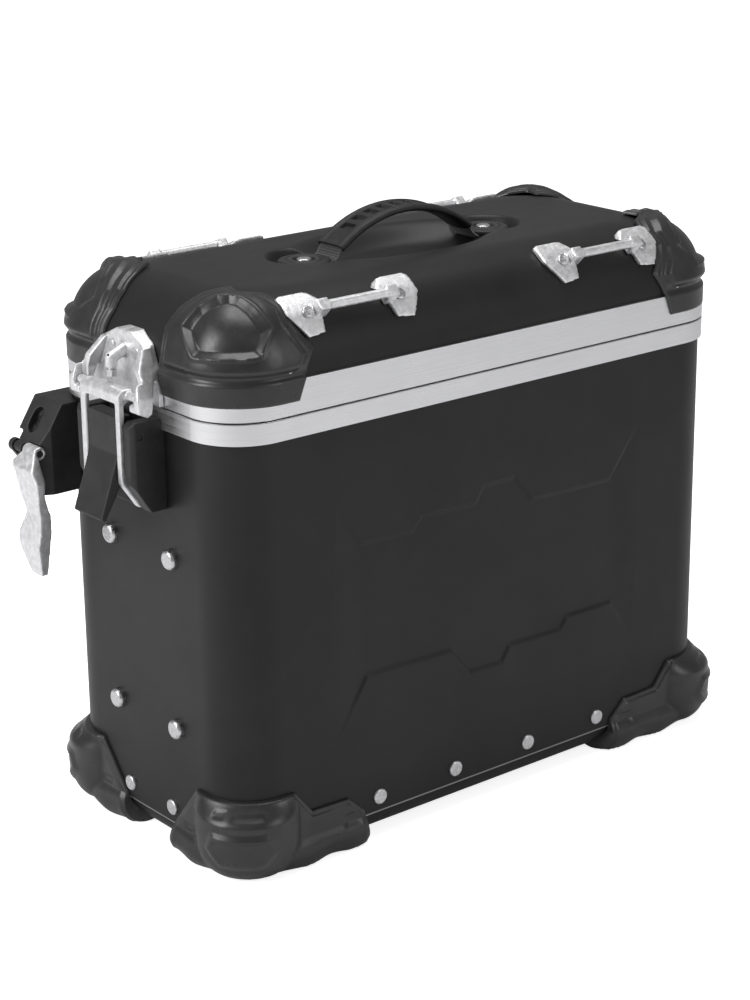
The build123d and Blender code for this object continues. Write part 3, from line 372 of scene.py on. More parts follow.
def foot_chart(w):
    """The same round the case's lower edge, where the skin leans down."""
    turn_z = PAN_FLOOR + PAN_TURN_R
    lean = np.clip((turn_z - w) / PAN_TURN_R, 0, math.pi / 2)
    inset = PAN_TURN_R * (1 - np.cos(lean)) + np.maximum(UNDER_W - w, 0)
    return inset, np.maximum(w, turn_z) - PAN_TURN_R * np.sin(lean), -lean


def cap_skin(s, w, height, chart):
    """Points standing a height off the case's skin at the -X -Y corner."""
    inset, z, lean = chart(w)
    x, y, nx, ny = corner_point(s, inset, cap_radius(inset))
    out = np.cos(lean) * height
    return np.stack([x + nx * out, y + ny * out, z + np.sin(lean) * height], -1)


def build_cap(chart, front, end, low, high, height_of, inner_of):
    """One corner cap at the -X -Y corner as two grids of points, outer and inner."""
    shares = fine_shares(CAP_CELLS, CAP_LIP)
    grid = coons(front, end, low, high, shares, shares)
    s, w = grid[..., 0], grid[..., 1]
    sides = np.minimum(polyline_distance(s, w, front, False), polyline_distance(s, w, end, False))
    tip = polyline_distance(s, w, high, False)
    foot = polyline_distance(s, w, low, False)
    inner = inner_of(w)
    height = height_of(s, w, np.minimum(sides, tip), foot)
    edge = np.minimum(np.minimum(sides, tip), foot)
    rounding = quarter_round(edge / EDGE_ROUND)
    height = inner + (height - inner) * (CAP_EDGE_SHARE + (1 - CAP_EDGE_SHARE) * rounding)
    return cap_skin(s, w, height, chart), cap_skin(s, w, inner, chart)


SKIRT = 4.9 * MM
SKIRT_END_W = (360.5 * MM, 363.8 * MM)
GROOVE = 2.7 * MM
GROOVE_END_W = (365 * MM, 370 * MM)
RECESS = [
    (-18.5, 378), (23.5, 377), (37, 393.4), (25, 408.4), (12, 419),
    (3.5, 422), (-4, 419), (-12, 411), (-25, 394.6),
]
FLANGE_RISE, FLANGE_BEVEL = 1.6 * MM, (2.5 * MM, 4.2 * MM)
SHIELD_RISE, SHIELD_BEVEL = 2.4 * MM, (7 * MM, 11 * MM)
RECESS_LIP = (0.8 * MM, 2.0 * MM)  # rise and half width
RECESS_DEPTH, RECESS_BEVEL = 4.4 * MM, 4.8 * MM
DOME_RISE, DOME_HALF, DOME_W = 2.0 * MM, (30 * MM, 26 * MM), 398 * MM


def upper_cap_height(s, w, edge, foot):
    """Skirt, groove, stepped flange, shield and the bevelled recess on the diagonal. The edge is the
    distance in from the sides and the tip; the foot's distance plays no part here."""
    skirt = SKIRT + (GROOVE - SKIRT) * smoothstep(w, *SKIRT_END_W)
    shield = FLANGE_RISE * smoothstep(edge, *FLANGE_BEVEL) + SHIELD_RISE * smoothstep(edge, *SHIELD_BEVEL)
    rise = smoothstep(w, *GROOVE_END_W)
    depth = signed_depth(s, w, in_metres(RECESS))
    lip = RECESS_LIP[0] * (1 - np.clip(np.abs(depth) / RECESS_LIP[1], 0, 1))
    bevel = RECESS_DEPTH * np.clip(depth / RECESS_BEVEL, 0, 1)
    reach = np.hypot(s / DOME_HALF[0], (w - DOME_W) / DOME_HALF[1])
    dome = DOME_RISE * np.clip(1 - reach * reach, 0, 1)
    return skirt + rise * (shield + lip - bevel + dome)


def upper_cap_inner(w):
    """Inner skin: clear of the rim below, close to the lid above."""
    return np.where(w < RIM_TOP + RIM_ROOM[1], RIM_PROUD + RIM_ROOM[0], CAP_GAP)


UPPER_FRONT = [
    (-48, 345.5), (-54.5, 361.6), (-62, 378.4), (-50.5, 390.4), (-41.5, 400.3), (-36, 413.5), (-19.5, 427.6),
]
UPPER_TIP = (10, 439.6)
UPPER_END = [(59, 345.5), (66, 360), (62.5, 376.9), (61.5, 390.7), (51, 406.3), (33.5, 422.8)]
FOOT_FRONT = [(-38.5, 59.5), (-53.5, 41), (-86.5, 40), (-101.5, 26), (-102, 8), (-96, -13)]
FOOT_END = [(39, 59.5), (68, 24), (70.5, 10), (64, -13)]
FOOT_TIP_W = -30 * MM
KNOB = (-208 * MM, -82 * MM, 36 * MM)  # middle of the rounded knob at the corner
KNOB_R = 39 * MM
KNOB_POWER = 3.2  # fuller than a ball
HALVINGS = 22  # steps of the search for the knob's surface
FOOT_SKIN = 4.2 * MM
FOOT_EDGE_SHARE, FOOT_BEVEL = 0.62, (2.5 * MM, 4.5 * MM)  # thinner flange round the skin
FOOT_SQUARE = 8 * MM  # how much fuller the lower edge is than the case's own rounded one
KNOB_PANEL = [(-24, 41), (22, 41), (31, 27), (18, 13), (-18, 13), (-31, 27)]  # round the knob, height
KNOB_BLEND = (-1.0 * MM, 2.5 * MM)  # the knob melts into the skin over this difference in height
KNOB_GROWTH = (-3 * MM, 15 * MM)  # the knob grows out of the thin top edge over this distance
KNOB_DENTS, KNOB_DENT = [(-20, 52, 6, 2.6), (6, 51, 15, 1.8)], 0.8 * MM
TOE_DENTS, TOE_DENT = [(-88, 25, 8, 5), (46, 28, 6, 3)], 0.9 * MM
WAVE_RISE, WAVE_PITCH, WAVE_SHIFT = 1.4 * MM, 42 * MM, 2 * MM
WAVE_FADE = (-24 * MM, -4 * MM)
PLATEAU_RISE, PLATEAU_BEVEL = 2.2 * MM, 4.2 * MM
PLATEAU_SINK, SINK_BEVEL = 1.2 * MM, (5 * MM, 7 * MM)


def knob_height(skin, normal):
    """How far along the normals the knob stands off the case's skin; negative where it does not."""

    def fill(points):
        off = np.abs(points - np.array(KNOB)) / KNOB_R
        return np.hypot(off[..., 0], off[..., 1]) ** KNOB_POWER + off[..., 2] ** KNOB_POWER

    low, high = np.zeros(skin.shape[:2]), np.full(skin.shape[:2], KNOB_R)
    for _ in range(HALVINGS):
        middle = (low + high) / 2
        inside = fill(skin + normal * middle[..., None]) < 1
        low, high = np.where(inside, middle, low), np.where(inside, high, middle)
    return np.where(fill(skin) < 1, low, -1)


def dent(across, up, boxes, depth):
    """Depth of small rectangular dents given as (across, up, half width, half height)."""
    total = np.zeros(np.shape(across))
    for centre, level, half, tall in boxes:
        box = np.maximum(np.abs(across - centre * MM) / (half * MM), np.abs(up - level * MM) / (tall * MM))
        total = total + depth * (1 - smoothstep(box, 0.7, 1.0))
    return total


def lower_cap_height(s, w, edge, foot):
    """Skin, knob with its bevelled panel, small dents and the waves along the toe. The edge is the
    distance in from the sides and the tip, the foot that from the thin top edge."""
    wall = cap_skin(s, w, np.zeros(np.shape(s)), foot_chart)
    normal = cap_skin(s, w, np.ones(np.shape(s)), foot_chart) - wall
    skin = FOOT_SKIN * (FOOT_EDGE_SHARE + (1 - FOOT_EDGE_SHARE) * smoothstep(edge, *FOOT_BEVEL))
    skin = skin - FOOT_SQUARE * np.sin(2 * foot_chart(w)[2])
    waves = np.cos((s + WAVE_SHIFT) / WAVE_PITCH * 2 * math.pi) * smoothstep(-w, *WAVE_FADE)
    skin = skin + WAVE_RISE * waves
    knob = knob_height(wall, normal)
    share = smoothstep(knob - skin, *KNOB_BLEND)
    rise = smoothstep(foot, *KNOB_GROWTH)
    height = skin + (np.maximum(knob, skin) - skin) * share * rise
    place = wall + normal * height[..., None] - np.array(KNOB)
    around = (np.arctan2(place[..., 1], place[..., 0]) + 0.75 * math.pi) * KNOB_R
    level = place[..., 2] + KNOB[2]
    panel = signed_depth(around, level, in_metres(KNOB_PANEL))
    plateau = PLATEAU_RISE * np.clip(panel / PLATEAU_BEVEL, 0, 1)
    height = height + (plateau - PLATEAU_SINK * smoothstep(panel, *SINK_BEVEL)) * share
    height = height - dent(around, level, KNOB_DENTS, KNOB_DENT) * share
    return height - dent(s, w, TOE_DENTS, TOE_DENT) * (1 - share)


def lower_cap_inner(w):
    """Inner skin: close to the wall and the pan."""
    return np.full(np.shape(w), CAP_GAP)


def place_caps(name, outer, inner):
    """The four mirror images of one cap, each standing for its CAD node."""
    made = []
    for depth, flip_y in (("front", False), ("back", True)):
        for side, flip_x in (("left", False), ("right", True)):
            node = f"{name}_{depth}_{side}"
            grids = [mirrored(points, flip_x, flip_y) for points in (outer, inner)]
            piece = sheet_solid(f"{node}_shell", *grids, sharp=55)
            made.append((piece, node))
    return made


def build_upper_caps():
    """Caps over the lid's corners."""
    front, end = in_metres(UPPER_FRONT), in_metres(UPPER_END)
    high = [front[-1], (UPPER_TIP[0] * MM, UPPER_TIP[1] * MM), end[-1]]
    low = [front[0], end[0]]
    grids = build_cap(lid_chart, front, end, low, high, upper_cap_height, upper_cap_inner)
    return place_caps("upper_cap", *grids)


def build_lower_caps():
    """Caps round the case's feet, with the flat foot at z = 0."""
    front, end = in_metres(FOOT_FRONT), in_metres(FOOT_END)
    low = [front[0], end[0]]
    high = [front[-1], (0.0, FOOT_TIP_W), end[-1]]
    outer, inner = build_cap(foot_chart, front, end, low, high, lower_cap_height, lower_cap_inner)
    outer[..., 2] = np.maximum(outer[..., 2], 0)
    return place_caps("lower_cap", outer, inner)


# ---- softened copies of moulded and cast CAD pieces -----------------------------------------------
SEAM = 0.02 * MM  # points this close in a CAD piece's mesh are one point


def softened(node, voxel, rounds):
    """A copy of a CAD piece with its sharp edges worn round, as casting and moulding leave them."""
    mesh = nodes[node].data.copy()
    obj = bpy.data.objects.new(f"{node}_form", mesh)
    bpy.context.scene.collection.objects.link(obj)
    mesh.materials.clear()
    weld(obj, SEAM)
    remesh = obj.modifiers.new("even", "REMESH")
    remesh.mode = "VOXEL"
    remesh.voxel_size = voxel
    smooth = obj.modifiers.new("soft", "SMOOTH")
    smooth.factor = 0.5
    smooth.iterations = rounds
    depsgraph = bpy.context.evaluated_depsgraph_get()
    soft = bpy.data.meshes.new_from_object(obj.evaluated_get(depsgraph))
    obj.modifiers.clear()
    obj.data = soft
    shade(obj)
    return obj


# ---- carrying handle -------------------------------------------------------------------------------
GRIP_HALF = 15 * MM
GRIP_END_X = 61 * MM
GRIP_END_Z = 415 * MM
GRIP_TOP = 439.5 * MM
GRIP_THICK = 7 * MM
TROUGH_DEPTH, TROUGH_EDGE = 1.1 * MM, (8 * MM, 10 * MM)
TROUGH_END = 5 * MM
SLOT_PITCH, SLOT_DEPTH = 11.5 * MM, 2.6 * MM
SLOT_ROW = 4.5  # pitches from the middle to the row's end
SLOT_ALONG, SLOT_ACROSS = (2.6 * MM, 3.4 * MM), (5.6 * MM, 6.6 * MM)  # a slot's rounded edges
STRAP_HALF = 12.5 * MM
STRAP_BENDS = [(-74, 405.2), (-69, 405.6), (-64.5, 409), (-61.5, 414), (-57, 418.5), (-50, 422.5)]
STRAP_CORE = 0.9 * MM  # half thickness between the ribs
RIB_PITCH, RIB_RISE = 2.1 * MM, 0.55 * MM
CORD_PITCH, CORD_RISE = 1.6 * MM, 0.15 * MM


def arch(x, sink=0.0):
    """Height of the grip's arch line, its top lowered by sink."""
    rise = GRIP_TOP - sink - GRIP_END_Z
    radius = (GRIP_END_X**2 + rise**2) / (2 * rise)
    return GRIP_END_Z + rise - radius + np.sqrt(radius**2 - x**2)


def sweep_band(name, path, across, top_of, bottom_of):
    """Closed band along a path in the XZ plane, with heights over and under the path."""
    step = np.gradient(path, axis=0)
    step /= np.linalg.norm(step, axis=1)[:, None]
    normal = np.column_stack([-step[:, 1], step[:, 0]])
    length = np.concatenate([[0], np.cumsum(np.hypot(*np.diff(path, axis=0).T))])
    along, side = np.meshgrid(length, across, indexing="ij")
    grids = []
    for height in (top_of(along, side), bottom_of(along, side)):
        x = path[:, None, 0] + normal[:, None, 0] * height
        z = path[:, None, 1] + normal[:, None, 1] * height
        grids.append(np.stack([x, side, z], -1))
    return sheet_solid(name, *grids, sharp=50)


def build_grip():
    """Moulded grip: rounded band with raised edges and a row of slots along its top."""
    x = np.linspace(-GRIP_END_X, GRIP_END_X, 180)
    path = np.column_stack([x, arch(x, GRIP_THICK / 2)])
    across = GRIP_HALF * np.sin(np.linspace(-math.pi / 2, math.pi / 2, 57))
    half = GRIP_THICK / 2
    total = np.hypot(*np.diff(path, axis=0).T).sum()

    def round_edge(side):
        return np.sqrt(np.clip(1 - (np.abs(side) / GRIP_HALF) ** 6, 0, 1))

    def top(along, side):
        trough = TROUGH_DEPTH * (1 - smoothstep(np.abs(side), *TROUGH_EDGE))
        ends = smoothstep(along, 0, TROUGH_END) * smoothstep(total - along, 0, TROUGH_END)
        near = (along - total / 2) / SLOT_PITCH
        cell = np.abs(near - np.round(near)) * SLOT_PITCH
        slot = (1 - smoothstep(cell, *SLOT_ALONG)) * (1 - smoothstep(np.abs(side), *SLOT_ACROSS))
        slot = np.where(np.abs(near) < SLOT_ROW, slot, 0)
        return (half - trough * ends - SLOT_DEPTH * slot) * round_edge(side)

    def bottom(along, side):
        return -half * round_edge(side) * (0.7 + 0.3 * np.cos(side / GRIP_HALF * math.pi / 2))

    return sweep_band("grip_moulding", path, across, top, bottom)


def webbing_top(along, place):
    """Half thickness of the webbing: ribs across it and fine cords along it, thin at its edges."""
    weave = np.abs(np.sin(along / RIB_PITCH * math.pi)) ** 0.6
    cords = np.abs(np.sin(place / CORD_PITCH * math.pi))
    edge = np.sqrt(np.clip(1 - (np.abs(place) / STRAP_HALF) ** 10, 0, 1))
    return (STRAP_CORE + RIB_RISE * weave + CORD_RISE * cords) * edge


def webbing_bottom(along, place):
    """The same on the under side."""
    return -webbing_top(along, place)


def build_webbing():
    """Ribbed webbing from each end disc up into the grip."""
    left = along_polyline(in_metres(STRAP_BENDS), np.linspace(0, 1, 150))
    for _ in range(60):  # eases the bends
        left[1:-1] = (left[:-2] + left[2:] + 2 * left[1:-1]) / 4
    right = (left * [-1, 1])[::-1]
    across = np.linspace(-STRAP_HALF, STRAP_HALF, 41)
    return [
        sweep_band(f"webbing_{side}", line, across, webbing_top, webbing_bottom)
        for side, line in (("left", left), ("right", right))
    ]


def lathe(name, centre, profile, segments=96, sharp=40):
    """Turned piece about a vertical axis from (radius, height) points, bottom middle to top middle."""
    turn = np.linspace(0, 2 * math.pi, segments, endpoint=False)
    verts = []
    for radius, z in profile:
        x, y = centre[0] + radius * np.cos(turn), centre[1] + radius * np.sin(turn)
        verts.extend(zip(x, y, np.full(segments, z)))
    faces = []
    for ring in range(len(profile) - 1):
        low, high = ring * segments, (ring + 1) * segments
        for j in range(segments):
            k = (j + 1) % segments
            faces.append((low + j, low + k, high + k, high + j))
    obj = make_object(name, verts, faces)
    weld(obj)
    shade(obj, sharp)
    return obj


DISC_BORE = 4.2 * MM
DISC_BASE_INSET = 1.5 * MM
DISC_FOOT_R, DISC_FOOT_UP = 1.8 * MM, 2.4 * MM  # lower rounding: radius and height of its middle
DISC_TOP_R, DISC_TOP_RISE, DISC_TOP_DOWN = 2.6 * MM, 2.2 * MM, 2.8 * MM  # upper one, flatter
DISC_GROOVE = [(6, 0.4), (6.6, 0.9), (7.2, 0.3)]  # in from the rim, down from the top
DISC_SINK = [(9.5, 0), (8.6, 0.5), (7.6, 2.2)]  # radius and depth of the screw's sunk seat
DISC_SEAT = 2.4 * MM


def build_discs():
    """End discs of the handle: rounded, with a groove round the sunk screw."""
    low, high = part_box("handle_disc_left")
    radius, foot, top = (high.x - low.x) / 2, low.z, high.z
    lower = (radius - DISC_FOOT_R, foot + DISC_FOOT_UP)
    upper = (radius - DISC_TOP_R, top - DISC_TOP_DOWN)
    profile = [(DISC_BORE, foot), (radius - DISC_BASE_INSET, foot)]
    profile += [
        (lower[0] + DISC_FOOT_R * math.sin(a), lower[1] - DISC_FOOT_R * math.cos(a))
        for a in np.linspace(0.4, math.pi / 2, 6)
    ]
    profile += [
        (upper[0] + DISC_TOP_R * math.cos(a), upper[1] + DISC_TOP_RISE * math.sin(a))
        for a in np.linspace(0, math.pi / 2, 8)
    ]
    profile += [(radius - inward, top - down) for inward, down in in_metres(DISC_GROOVE)]
    profile += [(across, top - down) for across, down in in_metres(DISC_SINK)]
    profile += [(DISC_BORE, top - DISC_SEAT), (DISC_BORE, foot)]
    return [
        lathe(f"disc_{side}", (place, 0), profile)
        for side, place in (("left", -HANDLE_X), ("right", HANDLE_X))
    ]


# ---- materials --------------------------------------------------------------------------------------
class Surface:
    """Builds the nodes of one material, in object coordinates, which are metres here."""

    def __init__(self, name, colour, metallic, roughness, specular=0.5):
        self.material = bpy.data.materials.new(name)
        self.material.use_nodes = True
        self.tree = self.material.node_tree
        self.shader = self.tree.nodes["Principled BSDF"]
        self.shader.inputs["Metallic"].default_value = metallic
        self.shader.inputs["Roughness"].default_value = roughness
        self.shader.inputs["Specular IOR Level"].default_value = specular
        self.shader.inputs["Base Color"].default_value = (*colour, 1)
        self.place = self.tree.nodes.new("ShaderNodeTexCoord").outputs["Object"]

    def node(self, kind, **inputs):
        """Adds a node and fills its named inputs."""
        made = self.tree.nodes.new(kind)
        for key, value in inputs.items():
            self.put(made.inputs[key.replace("_", " ")], value)
        return made

    def put(self, socket, value):
        """Links a socket to another one, or gives it a plain value."""
        if isinstance(value, bpy.types.NodeSocket):
            self.tree.links.new(value, socket)
        else:
            socket.default_value = value

    def noise(self, scale, detail=3.0, stretch=(1, 1, 1)):
        """Noise with this many cycles a metre, stretched along the axes."""
        mapping = self.node("ShaderNodeMapping", Vector=self.place, Scale=stretch)
        return self.node(
            "ShaderNodeTexNoise", Vector=mapping.outputs[0], Scale=scale, Detail=detail, Roughness=0.6
        ).outputs[0]

    def remap(self, value, low, high, to_low, to_high):
        """A value's range stretched from one pair of limits to another."""
        made = self.node("ShaderNodeMapRange")
        for socket, given in zip(made.inputs, (value, low, high, to_low, to_high)):
            self.put(socket, given)
        return made.outputs[0]

    def blend(self, factor, first, second):
        """Colour between two colours."""
        made = self.tree.nodes.new("ShaderNodeMix")
        made.data_type = "RGBA"  # its colours are inputs 6 and 7 and output 2
        self.put(made.inputs[0], factor)
        self.put(made.inputs[6], first)
        self.put(made.inputs[7], second)
        return made.outputs[2]

    def edges(self, low, high):
        """1 on the mesh's raised edges, 0 on its faces."""
        pointiness = self.tree.nodes.new("ShaderNodeNewGeometry").outputs["Pointiness"]
        return self.remap(pointiness, low, high, 0, 1)

    def set(self, name, value):
        """Sets an input of the material's shader."""
        self.put(self.shader.inputs[name], value)

    def bump(self, *layers):
        """Stacks (height, distance in metres) layers of relief."""
        normal = None
        for height, distance in layers:
            made = self.node("ShaderNodeBump", Height=height, Distance=distance, Strength=1.0)
            if normal is not None:
                self.put(made.inputs["Normal"], normal)
            normal = made.outputs[0]
        self.set("Normal", normal)


def grey(value):
    """Nearly neutral grey."""
    return (value, value, value * 1.01)


def rgba(value):
    """The same with an alpha of 1."""
    return (*grey(value), 1)


BARE_LINE = (0.1 * MM, 0.9 * MM, 1.2 * MM)  # below the wall's foot, above it, and where it has faded


def powder_coat(name, tone):
    """Satin black powder coat: orange-peel grain, faint clouds and a bare line at the wall's foot."""
    made = Surface(name, grey(tone), 0.0, 0.4, 0.3)
    clouds = made.noise(14, 4)
    grain = made.noise(900, 2)
    colour = made.blend(made.remap(clouds, 0.3, 0.7, 0, 1), rgba(tone * 0.8), rgba(tone * 1.25))
    height = made.tree.nodes.new("ShaderNodeSeparateXYZ")
    made.put(height.inputs[0], made.place)
    below = made.remap(height.outputs[2], WALL_FOOT + BARE_LINE[1], WALL_FOOT + BARE_LINE[2], 1, 0)
    above = made.remap(height.outputs[2], WALL_FOOT - BARE_LINE[0], WALL_FOOT, 0, 1)
    bare = made.node("ShaderNodeMath", Value=below)
    bare.operation = "MULTIPLY"
    made.put(bare.inputs[1], above)
    made.set("Base Color", made.blend(bare.outputs[0], colour, rgba(0.35)))
    made.set("Metallic", bare.outputs[0])
    made.set("Roughness", made.remap(made.noise(60, 4), 0.3, 0.7, 0.39, 0.43))
    made.bump((grain, 0.05 * MM), (made.noise(2600, 1), 0.02 * MM))
    return made.material


def brushed_aluminium(name):
    """Bare rim stock, brushed along its length, with light handling marks."""
    made = Surface(name, grey(0.66), 1.0, 0.32)
    streaks = made.noise(1, 5, (9, 9, 1500))
    fine = made.noise(1, 3, (30, 30, 5200))
    marks = made.noise(35, 5)
    tone = made.remap(streaks, 0.3, 0.7, 0, 1)
    made.set("Base Color", made.blend(tone, rgba(0.74), rgba(0.84)))
    rough = made.node("ShaderNodeMath", Value=made.remap(streaks, 0.3, 0.7, 0.26, 0.40))
    rough.operation = "ADD"
    made.put(rough.inputs[1], made.remap(marks, 0.35, 0.75, -0.04, 0.06))
    made.set("Roughness", rough.outputs[0])
    made.set("Anisotropic", 0.5)
    made.bump((streaks, 0.04 * MM), (fine, 0.02 * MM))
    return made.material


def moulded_plastic(name, tone, rough, specular):
    """Textured black moulding: fine spark-eroded grain, a slight bloom and a painted highlight on the raised
    edges.
    """
    made = Surface(name, grey(tone), 0.0, rough, specular)
    bloom = made.remap(made.noise(45, 4), 0.35, 0.7, 0, 1)
    colour = made.blend(bloom, rgba(tone * 0.8), rgba(tone * 1.3))
    # painted highlight: the raised edges are painted three times paler than the plastic's tone
    made.set("Base Color", made.blend(made.edges(0.52, 0.62), colour, rgba(tone * 3)))
    made.set("Roughness", made.remap(made.noise(120, 3), 0.3, 0.7, rough - 0.06, rough + 0.08))
    made.bump((made.noise(1500, 2), 0.04 * MM), (made.noise(320, 3), 0.03 * MM))
    return made.material


def cast_aluminium(name):
    """Tumbled casting: dull pits, painted shade in the corners and a painted highlight on the edges."""
    made = Surface(name, grey(0.85), 0.85, 0.42)
    lumps = made.noise(240, 5)
    pits = made.noise(1100, 4)
    tone = made.blend(made.remap(lumps, 0.35, 0.65, 0, 1), rgba(0.74), rgba(0.92))
    tone = made.blend(made.remap(pits, 0.30, 0.42, 0.45, 0), tone, rgba(0.45))
    # painted shade: the hollow corners are painted dark grey
    tone = made.blend(made.edges(0.44, 0.50), rgba(0.42), tone)
    # painted highlight: the raised edges are painted nearly white
    made.set("Base Color", made.blend(made.edges(0.54, 0.62), tone, rgba(0.98)))
    made.set("Roughness", made.remap(lumps, 0.3, 0.7, 0.34, 0.52))
    made.bump((lumps, 0.25 * MM), (pits, 0.1 * MM))
    return made.material


def plain_metal(name, tone, rough, metallic=1.0):
    """Fastener metal with turning marks and light dulling."""
    made = Surface(name, grey(tone), metallic, rough)
    marks = made.noise(500, 4)
    made.set("Base Color", made.blend(made.remap(marks, 0.3, 0.7, 0, 1), rgba(tone * 0.75), rgba(tone * 1.1)))
    made.set("Roughness", made.remap(marks, 0.3, 0.7, rough - 0.08, rough + 0.12))
    made.bump((marks, 0.1 * MM), (made.noise(2500, 2), 0.04 * MM))
    return made.material


def rubber(name, tone, rough):
    """Matt rubber with a dusty bloom."""
    made = Surface(name, grey(tone), 0.0, rough, 0.3)
    dust = made.remap(made.noise(90, 5), 0.4, 0.75, 0, 1)
    made.set("Base Color", made.blend(dust, rgba(tone), rgba(tone * 1.8)))
    made.set("Roughness", made.remap(made.noise(200, 3), 0.3, 0.7, rough - 0.06, rough + 0.06))
    made.bump((made.noise(1800, 3), 0.12 * MM), (made.noise(260, 3), 0.06 * MM))
    return made.material


def woven(name, tone):
    """Polyester webbing: fibres along the strap, painted shade in the grooves between the ribs and a soft
    sheen on the ribs.
    """
    made = Surface(name, grey(tone), 0.0, 0.7, 0.3)
    fibres = made.noise(1, 3, (1200, 4200, 1200))
    ribs = made.edges(0.48, 0.56)
    colour = made.blend(made.remap(fibres, 0.3, 0.7, 0, 1), rgba(tone * 0.6), rgba(tone * 1.6))
    # painted shade: the grooves between the ribs are painted near black
    made.set("Base Color", made.blend(ribs, rgba(tone * 0.15), colour))
    made.set("Sheen Weight", 0.4)
    made.bump((fibres, 0.15 * MM))
    return made.material


finishes = {
    "black_powder_coat": powder_coat("black_powder_coat", 0.014),
    "dark_sheet": powder_coat("dark_sheet", 0.012),
    "rim_aluminium": brushed_aluminium("rim_aluminium"),
    "cap_plastic": moulded_plastic("cap_plastic", 0.022, 0.32, 0.6),
    "latch_plastic": moulded_plastic("latch_plastic", 0.026, 0.46, 0.35),
    "cast_aluminium": cast_aluminium("cast_aluminium"),
    "rubber": rubber("rubber", 0.015, 0.7),
    "grip_rubber": rubber("grip_rubber", 0.018, 0.5),
    "webbing": woven("webbing", 0.08),
    "rivet_aluminium": plain_metal("rivet_aluminium", 0.75, 0.36),
    "fastener_steel": plain_metal("fastener_steel", 0.68, 0.28),
    "lock_metal": plain_metal("lock_metal", 0.10, 0.40),
    "black_steel": plain_metal("black_steel", 0.03, 0.45, 0.2),
}
slot_of = {part["node"]: part["material_slot"] for part in frame["record"]["subparts"]}
body_of = {node: body for body, members in frame["record"]["behaviour"]["bodies"].items() for node in members}


def dress(obj, slot):
    """Gives a piece its finish."""
    obj.data.materials.clear()
    obj.data.materials.append(finishes[slot])


def stand_for(piece, *replaced):
    """The piece takes the place, body and finish of these CAD nodes."""
    dress(piece, slot_of[replaced[0]])
    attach(piece, body_of[replaced[0]])
    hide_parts(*replaced)


for node, obj in nodes.items():
    dress(obj, slot_of[node])

stand_for(build_body_wall(), "body_shell")
stand_for(build_lid(), "lid_shell")
for piece, node in build_upper_caps() + build_lower_caps():
    stand_for(piece, node)
stand_for(build_grip(), "handle_grip")
for piece in build_webbing():
    stand_for(piece, "handle_strap")
for piece, node in zip(build_discs(), ("handle_disc_left", "handle_disc_right")):
    stand_for(piece, node)
CAST_VOXEL, MOULDED_VOXEL = 0.8 * MM, 0.7 * MM  # mesh sizes of the softened copies
SOFT_ROUNDS = 3
CAST = ["left_lid_bracket", "right_lid_bracket", "left_latch_clip", "right_latch_clip", "rack_lock_lever"]
CAST += [f"lashing_eye_{depth}_{side}" for depth in ("front", "back") for side in ("left", "right")]
MOULDED = ["rack_lock_housing"]
MOULDED += [f"{side}_latch_{piece}" for piece in ("base", "lever") for side in ("left", "right")]
for node in CAST:
    stand_for(softened(node, CAST_VOXEL, SOFT_ROUNDS), node)
for node in MOULDED:
    stand_for(softened(node, MOULDED_VOXEL, SOFT_ROUNDS), node)


# ---- floor, light and camera ----------------------------------------------------------------------
FLOOR_HALF = 12.0
FLOOR_DROP = 0.3 * MM  # the floor lies this far under the feet
FLOOR_GLOW = 0.8  # keeps the floor near white in the picture while it still takes a soft shadow
STUDIO_LIGHT = 0.28  # strength of the white surroundings as a light


def add_floor():
    """Large pale floor under the case's feet, with a faint grain."""
    half = FLOOR_HALF
    corners = [(-half, -half, 0), (half, -half, 0), (half, half, 0), (-half, half, 0)]
    floor = make_object("floor", corners, [(0, 1, 2, 3)])
    floor.location.z = -FLOOR_DROP
    made = Surface("floor", grey(0.9), 0.0, 0.9, 0.1)
    made.set("Base Color", made.blend(made.noise(3, 3), rgba(0.92), rgba(0.96)))
    made.set("Emission Color", rgba(1.0))
    glow = made.tree.nodes.new("ShaderNodeLightPath").outputs["Is Camera Ray"]
    made.set("Emission Strength", made.remap(glow, 0, 1, 0, FLOOR_GLOW))
    floor.data.materials.append(made.material)


def add_softbox(name, place, aim, size, power):
    """Large soft light aimed at a point."""
    light = bpy.data.lights.new(name, "AREA")
    light.shape = "RECTANGLE"
    light.size, light.size_y = size
    light.energy = power
    obj = bpy.data.objects.new(name, light)
    bpy.context.scene.collection.objects.link(obj)
    obj.location = place
    obj.rotation_euler = (Vector(aim) - Vector(place)).to_track_quat("-Z", "Y").to_euler()


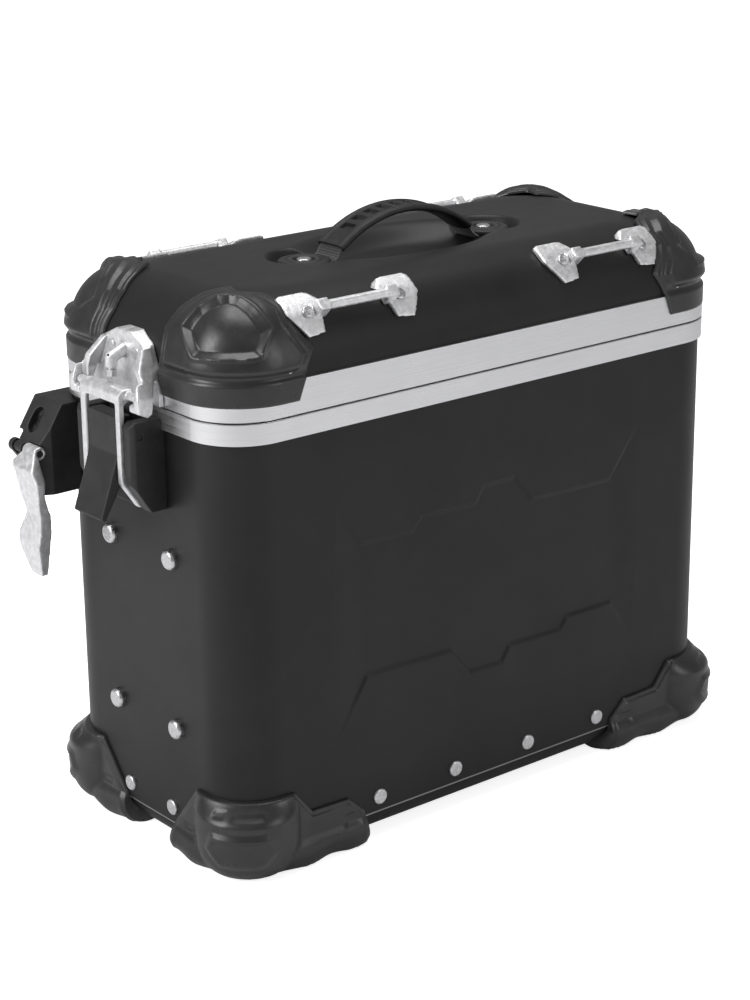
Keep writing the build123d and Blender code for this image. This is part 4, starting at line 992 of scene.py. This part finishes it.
def add_world():
    """White studio all round: dimmer as a light than as a background."""
    world = bpy.data.worlds.new("studio")
    bpy.context.scene.world = world
    world.use_nodes = True
    tree = world.node_tree
    light = tree.nodes["Background"]
    light.inputs["Color"].default_value = rgba(1.0)
    light.inputs["Strength"].default_value = STUDIO_LIGHT
    seen = tree.nodes.new("ShaderNodeBackground")
    seen.inputs["Color"].default_value = rgba(1.0)
    mix = tree.nodes.new("ShaderNodeMixShader")
    tree.links.new(tree.nodes.new("ShaderNodeLightPath").outputs["Is Camera Ray"], mix.inputs[0])
    tree.links.new(light.outputs[0], mix.inputs[1])
    tree.links.new(seen.outputs[0], mix.inputs[2])
    tree.links.new(mix.outputs[0], tree.nodes["World Output"].inputs[0])


CAMERA_AT = Vector((-1.0920, -1.3190, 0.7851))
CAMERA_TURN = (-39.03, 18.62, -0.61)  # degrees round, up and rolled
CAMERA_LENS = 84.86  # mm, over a 36 mm wide sensor


def add_camera():
    """Camera at the photograph's place."""
    turn, rise, roll = (math.radians(a) for a in CAMERA_TURN)
    back = Vector((math.sin(turn) * math.cos(rise), -math.cos(turn) * math.cos(rise), math.sin(rise)))
    right = (-back).cross(Vector((0, 0, 1))).normalized()
    up = right.cross(-back)
    across = right * math.cos(roll) + up * math.sin(roll)
    upright = up * math.cos(roll) - right * math.sin(roll)
    camera = bpy.data.cameras.new("camera")
    camera.lens = CAMERA_LENS
    camera.sensor_width = 36
    obj = bpy.data.objects.new("camera", camera)
    bpy.context.scene.collection.objects.link(obj)
    matrix = Matrix((across, upright, back)).transposed().to_4x4()
    matrix.translation = CAMERA_AT
    obj.matrix_world = matrix
    bpy.context.scene.camera = obj


add_floor()
add_softbox("key", (-2.4, 0.5, 1.5), (0, 0, 0.25), (1.2, 1.7), 40)
add_softbox("top", (0.2, 0.2, 2.4), (0, 0, 0.3), (1.6, 1.3), 26)
add_softbox("fill", (0.9, -2.6, 1.3), (0, 0, 0.2), (1.0, 1.6), 12)
add_world()
add_camera()
bpy.context.scene.view_settings.view_transform = "Standard"
